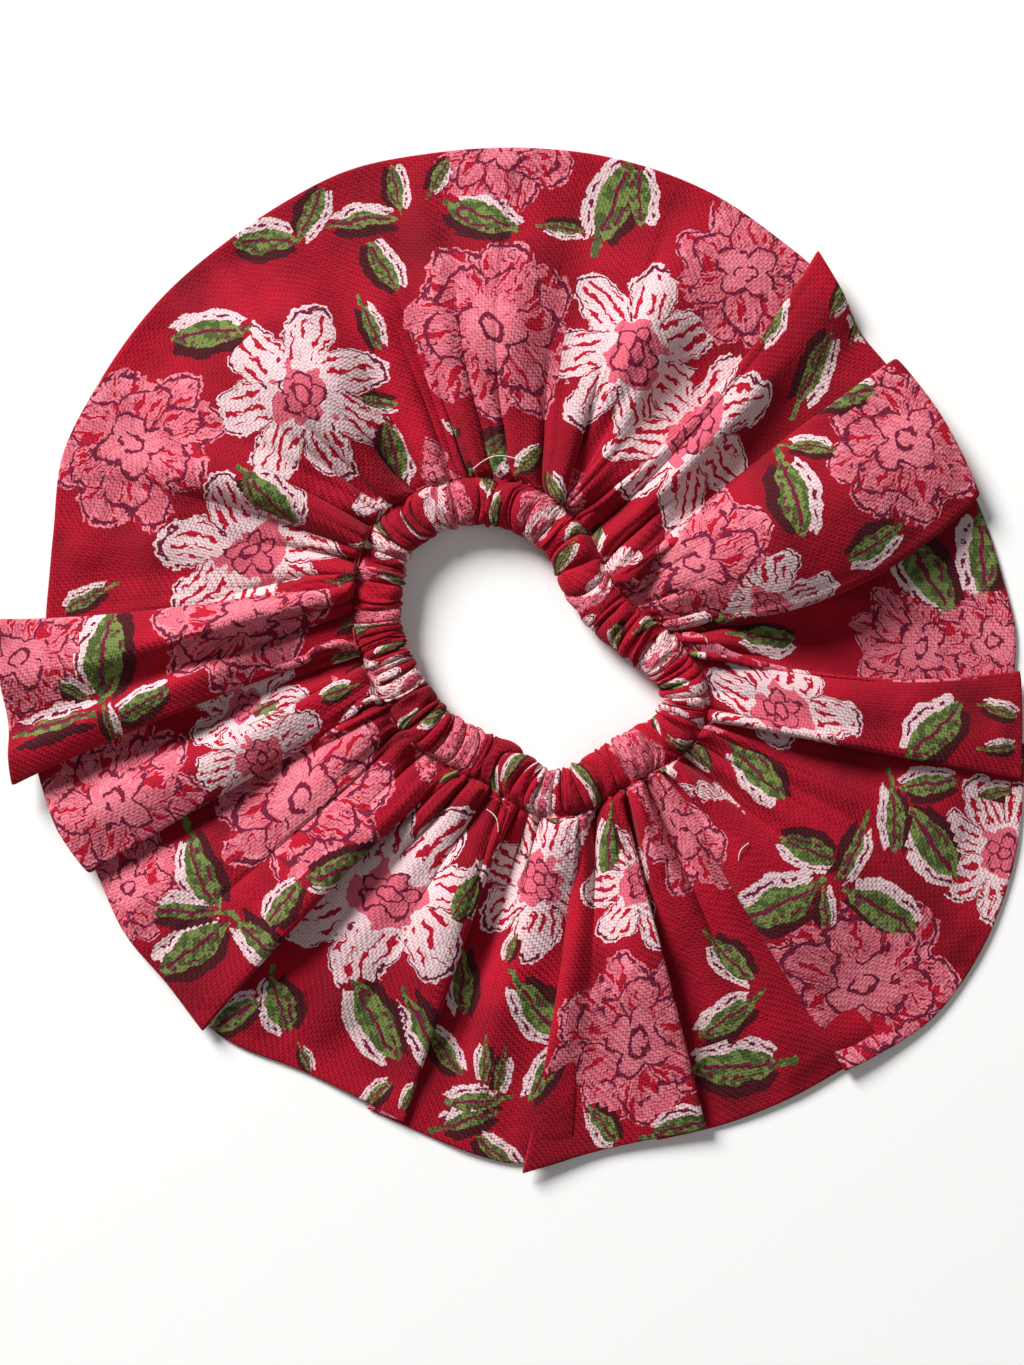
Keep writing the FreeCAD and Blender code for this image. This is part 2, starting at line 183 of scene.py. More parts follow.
# columns of points stand closer where the cloth is gathered tightly
fine = np.linspace(0, clothLength, 4001)
fineArc = np.maximum.accumulate(np.append(lineValues(fine[:-1])[:, 5], arcs[0] + sewnLength))
share = 0.64 * fine / clothLength + 0.36 * (fineArc - fineArc[0]) / (fineArc[-1] - fineArc[0])
cloth = np.interp(np.arange(ring["columns"]) / ring["columns"], share, fine)


def breaks(seed, count, spread, total):
    # uneven places where one fold meets the next
    widths = np.random.default_rng(seed).uniform(1 - spread, 1 + spread, count)
    return np.append(0, np.cumsum(widths)) / widths.sum() * total


def foldPlace(at, edges):
    # which fold a place is in, and how far across it
    k = np.clip(np.searchsorted(edges, at, side="right") - 1, 0, len(edges) - 2)
    return k, np.clip((at - edges[k]) / (edges[k + 1] - edges[k]), 0, 1)


def basePoints(at, v):
    # the frill's middle surface without puckers, for arrays of cloth coordinate and depth share
    shape = at.shape
    found = lineValues(at.ravel())
    inner = ringPoint(sewnLine, found[:, 5]).reshape(shape + (2,))
    out = found[:, :2].reshape(shape + (2,))
    middle, edge, bow = (found[:, k].reshape(shape) for k in (3, 2, 4))
    rise = np.where(v < 0.42, frill["sewnHeight"] + (middle - frill["sewnHeight"]) * smoothStep(v / 0.42),
                    middle + (edge - middle) * smoothStep((v - 0.42) / 0.58))
    lineWay = out - inner
    side = np.stack([-lineWay[..., 1], lineWay[..., 0]], -1)
    side /= np.linalg.norm(side, axis=-1)[..., None]
    flat = inner + lineWay * v[..., None] + side * (bow * np.sin(math.pi * v) ** 0.8)[..., None]
    return np.concatenate([flat, rise[..., None]], -1)


def middleSurface(v):
    # grid of points, one row for each depth share in v
    at, depth = np.meshgrid(cloth, v)
    base = basePoints(at, depth)
    rng = np.random.default_rng(11)
    lift = np.zeros(at.shape)
    # puckers: as tall as the cloth they hold needs, fading as the frill widens
    edges = breaks(5, frill["puckers"], 0.45, clothLength)
    k, t = foldPlace(cloth, edges)
    stepLength = np.linalg.norm(np.roll(base, -1, 1)[..., :2] - base[..., :2], axis=-1)
    held = np.array([[row[k == n].sum() for n in range(frill["puckers"])] for row in stepLength])
    width = np.diff(edges)
    spare = np.clip(width - held, 0, None)
    reach = rng.uniform(*frill["reach"], frill["puckers"])
    tall = rng.uniform(0.62, 1.1, frill["puckers"])
    fade = np.exp(-(v[:, None] / reach) ** 1.25)
    grow = 0.5 + 0.5 * np.sqrt(smoothStep(v / 0.045))
    height = np.minimum(0.46 * spare, frill["tallest"]) * tall * fade * grow[:, None]
    narrow = np.clip(1.1 * spare / width, 0, 0.9) * fade
    moved = at - narrow[:, k] * np.sin(2 * math.pi * t) / (2 * math.pi) * width[k]
    wave = np.sin(math.pi * t) ** 0.65
    lift += height[:, k] * (wave - 0.42)
    lean = (height * rng.uniform(-0.6, 0.6, frill["puckers"]))[:, k] * wave
    bulge = frill["overhang"] / frill["tallest"] * height[:, k] * wave * np.sin(
        math.pi * np.clip(v / 0.15, 0, 1))[:, None]
    # fine pleats that the sewing draws up, gone a few millimetres out
    finePlace, across = foldPlace(cloth, breaks(6, frill["finePleats"], 0.55, clothLength))
    fineTall = rng.uniform(0.3, 1.0, frill["finePleats"]) * frill["fineHeight"]
    fineFar = rng.uniform(0.06, 0.24, frill["finePleats"])
    lift += (fineTall * np.exp(-(v[:, None] / fineFar) ** 1.4))[:, finePlace] * (
        np.sin(math.pi * across) ** 0.8 - 0.5)
    # ridges: several puckers run together into one soft fold
    edges = breaks(8, frill["ridges"], 0.45, clothLength)
    k, t = foldPlace(cloth, edges)
    tall = rng.uniform(0.3, 1.0, frill["ridges"]) * frill["ridgeHeight"]
    far = rng.uniform(0.4, 1.05, frill["ridges"])
    swell = smoothStep(v[:, None] / 0.12) * np.exp(-(v[:, None] / far) ** 2)
    lift += (tall * swell)[:, k] * (np.sin(math.pi * t) ** 1.1 - 0.45)
    # creases left in the cloth
    u = at / clothLength
    lift += frill["crease"] * (softNoise(21, u, depth, 60, 4) * 1.5 + softNoise(22, u, depth * 0.6, 140, 4)
                               + 0.7 * softNoise(23, u, depth, 46, 9)) * smoothStep((1 - depth) / 0.12 + 0.25)
    surface = basePoints(moved, depth)
    sideways = np.roll(surface, -1, 1) - np.roll(surface, 1, 1)
    sideways[..., 2] = 0
    sideways /= np.maximum(np.linalg.norm(sideways, axis=-1), 1e-6)[..., None]
    inwards = np.stack([-sideways[..., 1], sideways[..., 0], np.zeros(at.shape)], -1)
    surface = surface + sideways * lean[..., None] + inwards * bulge[..., None]
    surface[..., 2] += lift * smoothStep((1.02 - depth) / 0.1)
    return surface


def halfGap(v):
    a, b, c = frill["halfGap"]
    plain = np.where(v < 0.5, a + (b - a) * smoothStep(v / 0.5), b + (c - b) * smoothStep((v - 0.5) / 0.5))
    return plain * np.sqrt(np.clip(1 - np.clip((v - 0.988) / 0.012, 0, 1) ** 2, 0, 1))


def surfaceNormal(surface, v):
    acrossWay = np.roll(surface, -1, 1) - np.roll(surface, 1, 1)
    normal = np.cross(np.gradient(surface, v, axis=0), acrossWay)
    normal /= np.maximum(np.linalg.norm(normal, axis=-1), 1e-9)[..., None]
    # neighbours share their normals, so that the plies don't cross in a tight valley
    for turn in range(2):
        normal = normal * 0.5 + (np.roll(normal, 1, 1) + np.roll(normal, -1, 1)) * 0.25
    return normal / np.maximum(np.linalg.norm(normal, axis=-1), 1e-9)[..., None]


def gridMesh(name, grid, flip=False, closed=True):
    # rows of points round the ring, or over a patch of it, as one sheet of quads
    rows, columns = grid.shape[:2]
    here = np.arange(rows * columns).reshape(rows, columns)
    left, right = (here, np.roll(here, -1, 1)) if closed else (here[:, :-1], here[:, 1:])
    quads = np.stack([left[:-1], left[1:], right[1:], right[:-1]], -1).reshape(-1, 4)
    if flip:
        quads = quads[:, ::-1]
    mesh = bpy.data.meshes.new(name)
    mesh.vertices.add(rows * columns)
    mesh.vertices.foreach_set("co", (grid.reshape(-1, 3) * toMetres).astype(np.float32).ravel())
    mesh.loops.add(quads.size)
    mesh.loops.foreach_set("vertex_index", quads.astype(np.int32).ravel())
    mesh.polygons.add(len(quads))
    mesh.polygons.foreach_set("loop_start", np.arange(0, quads.size, 4, dtype=np.int32))
    mesh.update(calc_edges=True)
    mesh.polygons.foreach_set("use_smooth", np.ones(len(quads), bool))
    piece = bpy.data.objects.new(name, mesh)
    bpy.context.scene.collection.objects.link(piece)
    return piece


def sheetArea(grid):
    a, b = np.roll(grid, -1, 1)[:-1] - grid[:-1], grid[1:] - grid[:-1]
    return float(np.linalg.norm(np.cross(a, b), axis=-1).sum())


# the frill: two plies that meet in the outer fold
depths = np.linspace(0, 1, frill["frontRows"]) ** 1.35
depths = np.sort(np.append(depths[:-1], [0.992, 0.9965, 0.999, 1.0]))
middleGrid = middleSurface(depths)
middleNormal = surfaceNormal(middleGrid, depths)
gap = halfGap(depths)[:, None]
low = gap + 0.12
middleGrid[..., 2] = np.where(middleGrid[..., 2] < low + 0.6,
                              low + 0.6 * np.exp((middleGrid[..., 2] - low - 0.6) / 0.6), middleGrid[..., 2])
frontGrid = middleGrid + middleNormal * gap[..., None]
backFine = middleGrid - middleNormal * gap[..., None]
frontGrid[..., 2], backFine[..., 2] = (np.maximum(g[..., 2], 0.1) for g in (frontGrid, backFine))
keep = np.unique(np.append(np.arange(0, len(depths) - 4, 2), np.arange(len(depths) - 5, len(depths))))
backGrid = backFine[keep]
frillFront = gridMesh("frillFront", frontGrid)
frillBack = gridMesh("frillBack", backGrid, flip=True)
print("frill front", round(sheetArea(frontGrid)), "mm2, back", round(sheetArea(backGrid)), "mm2, deep",
      round(float(np.linalg.norm(np.diff(middleGrid, axis=0), axis=-1).sum(0).mean()), 1), "mm")

# the casing: a puckered tube from the sewn line over the elastic and back beneath it
casing = {
    "height": 5.6,
    "base": 0.3,
    "puckers": 74,
    "depth": (1.55, 0.9, 0.85),        # crevices on top, at the opening's edge and below
    "slant": 2.8,                      # how far puckers lean along the ring
    "sections": 44,
}


def casingGrid():
    arc = lineValues(cloth)[:, 5]
    start = arc[0]
    edges = breaks(15, casing["puckers"], 0.72, sewnLength)
    k, t = foldPlace((arc - start) % sewnLength, edges)
    rng = np.random.default_rng(31)
    width, tall = np.diff(edges), rng.uniform(0.35, 1.15, casing["puckers"])
    half, b = ring["casingWidth"] / 2, casing["height"] / 2
    around = cloth / clothLength
    lateral = softNoise(44, around, np.zeros(ring["columns"]), 34, 2) * casing["slant"]
    first, last = frontGrid[0], backFine[0]
    grid = []
    for angle in np.linspace(0, 2 * math.pi, casing["sections"] + 1)[1:-1]:
        up, acrossWay = math.sin(angle), math.cos(angle)
        portion = np.full(ring["columns"], angle / (2 * math.pi))
        pinch = min(1, abs(math.sin(angle / 2)) * 2.4)
        place = arc - 0.7 * np.sin(2 * math.pi * t) / (2 * math.pi) * width[k] + lateral * up * pinch
        edge, outwards = ringPoint(openingEdge, place), ringPoint(openingOutwards, place)
        outwards /= np.linalg.norm(outwards, axis=1)[:, None]
        top, rim, under = casing["depth"]
        deep = top * max(0, up) + rim * max(0, -acrossWay) + under * max(0, -up)
        small = 0.34 * softNoise(41, around, portion, 230, 8) + 0.16 * softNoise(42, around, portion, 420, 14)
        inset = pinch * (deep * (1 - np.sin(math.pi * t) ** 0.5) * tall[k] - small)
        swell = 0.3 * softNoise(43, around, portion, 40, 3)
        reach = half + (half - 0.2 - inset * abs(acrossWay) ** 0.5 + swell * 0.4) * math.copysign(
            abs(acrossWay) ** 0.9, acrossWay)
        level = casing["base"] + b + (b - inset * abs(up) ** 0.5 + swell * 0.4) * math.copysign(
            abs(up) ** 0.85, up)
        point = np.column_stack([edge + outwards * reach[:, None], level])
        near = smoothStep(min(angle, 2 * math.pi - angle) / 0.75)
        grid.append((first if angle < math.pi else last) * (1 - near) + point * near)
    tube = np.array([first] + grid + [last])
    tube[..., 2] = np.maximum(tube[..., 2], 0.1)
    return tube


tubeGrid = casingGrid()
casingPiece = gridMesh("casing", tubeGrid, flip=True)
print("casing", round(sheetArea(tubeGrid)), "mm2")

# where each motif of the block print shows: kind, azimuth, radius, size (half its width or length),
# direction, which side its pale edge is on, and how broad a leaf is
blockPrint = {
    "motifs": [
        ("rose", 152, 79, 17, 100, 1, 1), ("rose", 91, 91, 14, 80, 1, 1),
        ("rose", 95, 57, 18.5, 60, 1, 1), ("rose", 59, 79, 15, 120, 1, 1),
        ("rose", 28, 78, 16.5, 20, 1, 1), ("rose", 27, 34, 17, 200, 1, 1),
        ("rose", 0, 73, 13, 10, 1, 1), ("rose", 1, 87, 12, 60, 1, 1), ("rose", 181, 88, 14, 0, 1, 1),
        ("rose", 173, 48, 18, 170, 1, 1), ("rose", 201, 77, 17, 75, 1, 1),
        ("rose", 213, 47, 18.5, 240, 1, 1), ("rose", 211, 82, 12, 40, 1, 1),
        ("rose", 314, 43, 15.5, 300, 1, 1), ("rose", 287, 74, 17.5, 270, 1, 1),
        ("rose", 316, 87, 19, 330, 1, 1), ("white", 131, 59, 18, 95, 1, 1),
        ("white", 69, 56, 18, 70, 1, 1), ("white", 51, 50, 18.5, 215, 1, 1),
        ("white", 8, 46, 13, 0, 1, 1), ("white", 347, 49, 15, 10, 1, 1),
        ("white", 160, 51, 18, 170, 1, 1), ("white", 192, 50, 12, 200, 1, 1),
        ("white", 204, 49, 13, 220, 1, 1), ("white", 242, 49, 21, 265, 1, 1),
        ("white", 274, 41, 15, 270, 1, 1), ("white", 299, 47, 13, 280, 1, 1),
        ("white", 337, 95, 14, 340, 1, 1), ("leaf", 135, 79, 7.3, 185, -1, 1),
        ("leaf", 122, 86, 6.1, 185, -1, 1), ("leaf", 115, 87, 5.1, 64, -1, 1),
        ("leaf", 110, 82, 6.3, 6, 1, 0.6), ("leaf", 105, 86, 4.3, 101, -1, 1),
        ("leaf", 99, 86, 3.5, 62, -1, 1), ("leaf", 95, 78, 7.2, 338, 1, 1),
        ("leaf", 109, 73, 5.5, 303, 1, 1), ("leaf", 83, 76, 3.8, 355, -1, 0.8),
        ("leaf", 78, 82, 8.2, 68, 1, 1), ("leaf", 75, 84, 5.7, 274, 1, 1),
        ("leaf", 115, 63, 4.5, 293, 1, 0.7), ("leaf", 119, 50, 4.2, 358, -1, 0.7),
        ("leaf", 122, 41, 6.0, 277, 1, 1), ("leaf", 99, 35, 6.4, 41, -1, 1),
        ("leaf", 86, 33, 3.3, 41, 1, 1), ("leaf", 53, 74, 4.8, 233, 1, 1),
        ("leaf", 47, 86, 3.5, 61, -1, 1), ("leaf", 43, 84, 2.4, 73, -1, 0.7),
        ("leaf", 43, 73, 6.8, 65, -1, 0.8), ("leaf", 38, 74, 6.3, 29, 1, 0.9),
        ("leaf", 35, 63, 4.3, 352, 1, 0.8), ("leaf", 29, 56, 7.6, 282, 1, 1),
        ("leaf", 16, 66, 5.8, 214, 1, 1), ("leaf", 11, 75, 8.7, 301, -1, 1.1),
        ("leaf", 11, 86, 7.8, 273, -1, 1), ("leaf", 3, 45, 5.5, 354, -1, 1),
        ("leaf", 349, 76, 7.5, 43, 1, 1.1), ("leaf", 353, 87, 3.6, 343, 1, 0.8),
        ("leaf", 348, 89, 3.2, 3, 1, 0.7), ("leaf", 343, 90, 3.6, 11, 1, 0.8),
        ("leaf", 332, 48, 6.6, 311, -1, 1.3), ("leaf", 336, 75, 6.0, 270, -1, 0.8),
        ("leaf", 342, 78, 5.6, 7, 1, 0.8), ("leaf", 335, 83, 7.9, 306, -1, 1.1),
        ("leaf", 325, 63, 6.0, 159, 1, 1.1), ("leaf", 329, 70, 6.0, 242, 1, 0.6),
        ("leaf", 316, 66, 8.3, 203, -1, 1.1), ("leaf", 320, 72, 4.3, 272, 1, 0.6),
        ("leaf", 324, 81, 8.0, 328, 1, 1), ("leaf", 294, 39, 6.0, 268, -1, 1.1),
        ("leaf", 305, 68, 5.5, 318, -1, 1), ("leaf", 300, 77, 6.1, 215, -1, 1),
        ("leaf", 298, 85, 8.0, 186, -1, 1.1), ("leaf", 274, 65, 7.0, 308, -1, 1),
        ("leaf", 274, 77, 5.7, 240, -1, 0.8), ("leaf", 268, 77, 3.8, 257, 1, 0.8),
        ("leaf", 280, 87, 4.7, 307, -1, 0.9), ("leaf", 289, 91, 6.5, 16, 1, 1),
        ("leaf", 268, 91, 5.3, 318, 1, 0.8), ("leaf", 215, 70, 7.3, 292, -1, 1),
        ("leaf", 218, 76, 6.8, 177, -1, 0.6), ("leaf", 223, 80, 7.6, 214, -1, 1.1),
        ("leaf", 229, 70, 6.8, 321, -1, 0.8), ("leaf", 227, 62, 5.2, 52, 1, 1),
        ("leaf", 232, 83, 5.7, 214, -1, 0.9), ("leaf", 237, 77, 6.0, 287, -1, 1.1),
        ("leaf", 233, 49, 7.5, 205, 1, 1), ("leaf", 259, 45, 5.4, 56, 1, 1.2),
        ("leaf", 261, 60, 6.2, 272, -1, 0.8), ("leaf", 249, 72, 8.3, 298, -1, 1),
        ("leaf", 260, 74, 5.0, 305, 1, 0.9), ("leaf", 265, 75, 3.7, 267, -1, 0.8),
        ("leaf", 264, 82, 5.4, 186, -1, 0.9), ("leaf", 264, 86, 5.7, 16, 1, 0.7),
        ("leaf", 252, 84, 3.5, 41, 1, 0.8), ("leaf", 243, 84, 2.7, 293, 1, 0.7),
        ("leaf", 150, 51, 7.2, 314, 1, 1.2), ("leaf", 173, 78, 4.4, 207, -1, 0.8),
        ("leaf", 181, 73, 8.6, 85, 1, 1.2), ("leaf", 186, 79, 4.1, 151, -1, 0.7),
        ("leaf", 189, 83, 8.3, 196, -1, 0.4), ("leaf", 191, 74, 3.9, 288, 1, 0.5),
        ("leaf", 189, 67, 5.6, 31, 1, 1), ("leaf", 182, 30, 3.7, 197, 1, 1),
        ("leaf", 193, 48, 6.6, 28, -1, 1), ("leaf", 195, 33, 3.1, 200, -1, 1),
        ("leaf", 257, 72, 7.9, 295, -1, 0.7), ("leaf", 257, 83, 2.8, 243, -1, 0.9),
        ("leaf", 268, 53, 2.9, 248, -1, 0.8), ("leaf", 43, 86, 3.2, 304, -1, 0.7),
        ("leaf", 283, 27, 2.0, 153, -1, 0.8), ("leaf", 358, 29, 4.4, 217, -1, 1),
        ("leaf", 325, 30, 2.9, 202, -1, 1),
    ],
    "limits": {"rose": 1.25, "white": 1.3, "leaf": 1.75},
}


def clothArcs(grid):
    # lengths over the cloth: along each row from its first column, and down each column
    stepAlong = np.linalg.norm(np.roll(grid, -1, 1) - grid, axis=-1)
    total = stepAlong.sum(1)[:, None]
    row = np.concatenate([np.zeros((len(grid), 1)), np.cumsum(stepAlong, 1)[:, :-1]], 1)
    down = np.concatenate([np.zeros((1, grid.shape[1])),
                           np.cumsum(np.linalg.norm(np.diff(grid, axis=0), axis=-1), 0)])
    return stepAlong, row, total, down


def placedMotifs(grid):
    # motifs given by azimuth and radius, found on the uppermost cloth there
    placed = []
    columns = grid.shape[1]
    for number, (kind, azimuth, radius, size, turn, side, broad) in enumerate(blockPrint["motifs"]):
        spot = np.array([ring["centre"][0] + radius * math.cos(math.radians(azimuth)),
                         ring["centre"][1] + radius * math.sin(math.radians(azimuth))])
        away = np.linalg.norm(grid[..., :2] - spot, axis=-1)
        score = grid[..., 2] - 6 * np.maximum(away - 0.8, 0)
        r, c = np.unravel_index(np.argmax(score), score.shape)
        r0, r1 = max(r - 2, 0), min(r + 2, len(grid) - 1)
        rowWay = (grid[r, (c + 4) % columns] - grid[r, c - 4])
        downWay = (grid[r1, c] - grid[r0, c])
        rowWay, downWay = rowWay[:2] / np.linalg.norm(rowWay), downWay[:2] / np.linalg.norm(downWay)
        ahead = np.array([math.cos(math.radians(turn)), math.sin(math.radians(turn))])
        turned = np.linalg.solve(np.column_stack([rowWay, downWay]), ahead)
        turned /= np.linalg.norm(turned)
        placed.append((kind, r, c, turned, size, -side, broad, (number * 0.381) % 1))
    return placed


def latticeMotifs(grid, pitch, rowsAt, size, seed):
    # an even scatter of motifs for cloth that is seen only from below or in the puckers
    rng = np.random.default_rng(seed)
    stepAlong, row, total, down = clothArcs(grid)
    placed = []
    for line, share in enumerate(rowsAt):
        r = int(share * (len(grid) - 1))
        count = max(4, int(round(total[r, 0] / pitch)))
        for i in range(count):
            where = (i + 0.5 * (line % 2) + rng.uniform(-0.12, 0.12)) * total[r, 0] / count % total[r, 0]
            c = int(np.argmin(np.abs(row[r] - where)))
            kind = ["rose", "leaf", "white", "leaf"][(i + 2 * line) % 4]
            turn = rng.uniform(0, 2 * math.pi)
            placed.append((kind, r, c, np.array([math.cos(turn), math.sin(turn)]),
                           size * (0.55 if kind == "leaf" else 1), 1, 1, rng.uniform()))
    return placed


def layPrint(piece, grid, placed, flip=False, squeeze=1.0, filling=()):
    # gives each face its nearest motif, with corner coordinates measured over the cloth from its middle
    stepAlong, row, total, down = clothArcs(grid)
    corners = [(slice(None, -1), 0), (slice(1, None), 0), (slice(1, None), 1), (slice(None, -1), 1)]
    shape = (grid.shape[0] - 1, grid.shape[1])
    best = np.full(shape, 9.0)
    motif = np.zeros(shape + (4, 2), np.float32)
    facts = np.zeros(shape + (3,), np.float32)
    facts[..., 0] = 3
    for number, (kind, r, c, ahead, size, side, broad, variant) in enumerate([*placed, *filling]):
        if number == len(placed):
            plain = best > 8
        along = (row - row[:, c:c + 1] + total / 2) % total - total / 2
        along, out = along * squeeze, down - down[r]
        x = (along * ahead[0] + out * ahead[1]) / size
        y = (-along * ahead[1] + out * ahead[0]) / size * side
        found = [np.stack([np.roll(x, -s, 1)[rowsOf], np.roll(y, -s, 1)[rowsOf]], -1) for rowsOf, s in corners]
        found = np.stack(found, -2)
        middle = found.mean(-2)
        reach = np.hypot(middle[..., 0], middle[..., 1] / (0.62 if kind == "leaf" else 1))
        if kind == "leaf":
            reach = reach * 0.8
        whole = np.ptp(found[..., 0], axis=-1) < 1  # not the faces opposite, where the lengths wrap
        nearer = (reach < best) & (reach < blockPrint["limits"][kind]) & whole
        if number >= len(placed):
            nearer &= plain
        best[nearer] = reach[nearer]
        motif[nearer] = found[nearer]
        facts[nearer] = (["rose", "white", "leaf"].index(kind), variant, broad)
    # thread coordinates restart every few columns, so that no long run shears them
    piecesOfRow = (np.arange(grid.shape[1]) // 22) * 22
    left = row - row[:, piecesOfRow]
    threads = np.stack([np.stack([(left if s == 0 else left + stepAlong)[rowsOf], down[rowsOf] if s == 0
                                  else np.roll(down, -1, 1)[rowsOf]], -1) for rowsOf, s in corners], -2)
    for name, values in (("motif", motif), ("threads", threads.astype(np.float32))):
        if flip:
            values = values[:, :, ::-1]
        layer = piece.data.uv_layers.new(name=name)
        layer.data.foreach_set("uv", np.ascontiguousarray(values).ravel())
    attribute = piece.data.attributes.new("motifFacts", "FLOAT_VECTOR", "FACE")
    attribute.data.foreach_set("vector", np.ascontiguousarray(facts).ravel())


layPrint(frillFront, frontGrid, placedMotifs(frontGrid), filling=latticeMotifs(frontGrid, 17, (0.1, 0.3), 8, 6))
layPrint(frillBack, backGrid, latticeMotifs(backGrid, 31, (0.2, 0.42, 0.68, 0.92), 16, 3), flip=True)
layPrint(casingPiece, tubeGrid, latticeMotifs(tubeGrid, 12, (0.12, 0.34, 0.7), 8.0, 4), flip=True,
         squeeze=2.4)
print("print laid on the cloth")


def linear(code):
    # sRGB hex to the linear colour that nodes take
    parts = [int(code[i:i + 2], 16) / 255 for i in (1, 3, 5)]
    return tuple(p / 12.92 if p <= 0.04045 else ((p + 0.055) / 1.055) ** 2.4 for p in parts) + (1.0,)


def addNode(tree, kind, *inputs, out=0, named=None, **settings):
    # inputs go to the sockets in order, or by socket name; each is a value or another node's output
    made = tree.nodes.new("ShaderNode" + kind)
    for name, value in settings.items():
        setattr(made, name, value)
    for place, value in [*enumerate(inputs), *(named or {}).items()]:
        if isinstance(value, bpy.types.NodeSocket):
            tree.links.new(value, made.inputs[place])
        elif value is not None:
            made.inputs[place].default_value = value
    return made.outputs if out is None else made.outputs[out]


def newMaterial(name):
    # the material, its shader, and the node adder set to its tree
    material = bpy.data.materials.new(name)
    material.use_nodes = True
    tree = material.node_tree
    return material, tree.nodes["Principled BSDF"], partial(addNode, tree)


def finish(material, shader, colour, bump, roughness, sheen):
    # what every cloth and thread here ends with
    links = material.node_tree.links
    links.new(colour, shader.inputs["Base Color"])
    links.new(bump, shader.inputs["Normal"])
    shader.inputs["Roughness"].default_value = roughness
    shader.inputs["Sheen Weight"].default_value = sheen
    return material


dyes = {
    "ground": "#A60A25", "groundDeep": "#740718", "rose": "#CB5B6C", "roseLight": "#DE7D8A",
    "streak": "#A80F28", "outline": "#6C1733", "pale": "#DAB9BC", "leaf": "#6C7A40", "leafDeep": "#4A562B",
    "shadow": "#440F18",
}
inks = {name: linear(code) for name, code in dyes.items()}
# shapes inside a motif, as shares of its size; a ring of petals is (count, inner radius, petal length)
drawing = {
    "rose": {"rings": [(8, 0.76, 0.2), (6, 0.5, 0.2), (4, 0.22, 0.17)], "line": 0.035, "heart": 0.11},
    "white": {"petals": (7, 0.47, 0.52), "breadth": 0.55, "heart": (5, 0.15, 0.1), "line": 0.03,
              "eye": 0.085, "stripes": 46.0},
    "leaf": {"width": 0.36, "pale": 0.3, "dark": -0.27, "rim": 0.13},
}


def petals(node, angle, turned, count, base, reach, breadth=1.0):
    # scalloped edge of a ring of petals, and a value that falls to 0 where two of them meet
    phase = node("Math", angle, count / 2, turned, operation="MULTIPLY_ADD")
    scallop = node("Math", node("Math", phase, operation="COSINE"), operation="ABSOLUTE")
    rounded = node("Math", scallop, breadth, operation="POWER")
    return node("Math", rounded, reach, base, operation="MULTIPLY_ADD"), scallop, phase


def roseDrawing(node, at, ground):
    # three rings of petals, with lines between them and radial dabs of red
    facts = drawing["rose"]
    radius, strokes, unbroken = at["radius"], at["strokes"], at["unbroken"]
    turns = [at["turned"], node("Math", at["turned"], 1.1, operation="ADD"), at["deep"]]
    edges, dips = [], []
    for turn, ringOf in zip(turns, facts["rings"]):
        edge, dip, phase = petals(node, at["angle"], turn, *ringOf)
        edges.append(edge)
        dips.append(dip)
    inside = node("Math", radius, edges[0], operation="LESS_THAN")
    rims = [(node("Math", edges[0], 0.05, operation="SUBTRACT"), 0.02), (edges[1], 0.024), (edges[2], 0.026),
            (facts["heart"], 0.022)]
    lines = 0.0
    for edge, width in rims:
        lines = node("Math", lines, node("Math", radius, edge, width, operation="COMPARE"), operation="MAXIMUM")
    for dip, inner, outer in ((dips[0], edges[1], edges[0]), (dips[1], edges[2], edges[1])):
        seam = node("Math", node("Math", dip, radius, operation="MULTIPLY"), facts["line"], operation="LESS_THAN")
        seam = node("Math", seam, node("Math", radius, inner, operation="GREATER_THAN"), operation="MULTIPLY")
        seam = node("Math", seam, node("Math", radius, outer, operation="LESS_THAN"), operation="MULTIPLY")
        lines = node("Math", lines, seam, operation="MAXIMUM")
    lines = node("Math", lines, unbroken, operation="MULTIPLY")
    fine = node("Math", node("Math", strokes, 0.44, 0.011, operation="COMPARE"),
                node("Math", radius, 0.28, operation="GREATER_THAN"), operation="MULTIPLY")
    lines = node("Math", node("Math", lines, fine, operation="MAXIMUM"), inside, operation="MULTIPLY")
    tone = node("Math", strokes, 3.0, -1.0, operation="MULTIPLY_ADD", use_clamp=True)
    colour = node("MixRGB", tone, inks["rose"], inks["roseLight"])
    rimNear = node("Math", node("Math", edges[0], radius, operation="SUBTRACT"), 0.13, operation="LESS_THAN")
    worn = node("Math", at["patchy"], 0.5, operation="GREATER_THAN")
    colour = node("MixRGB", node("Math", rimNear, worn, operation="MULTIPLY"), colour, inks["roseLight"])
    dabs = node("Math", node("Math", strokes, 0.57, operation="GREATER_THAN"),
                node("Math", radius, 0.3, operation="GREATER_THAN"), operation="MULTIPLY")
    colour = node("MixRGB", dabs, colour, inks["streak"])
    return node("MixRGB", lines, node("MixRGB", inside, ground, colour), inks["outline"])


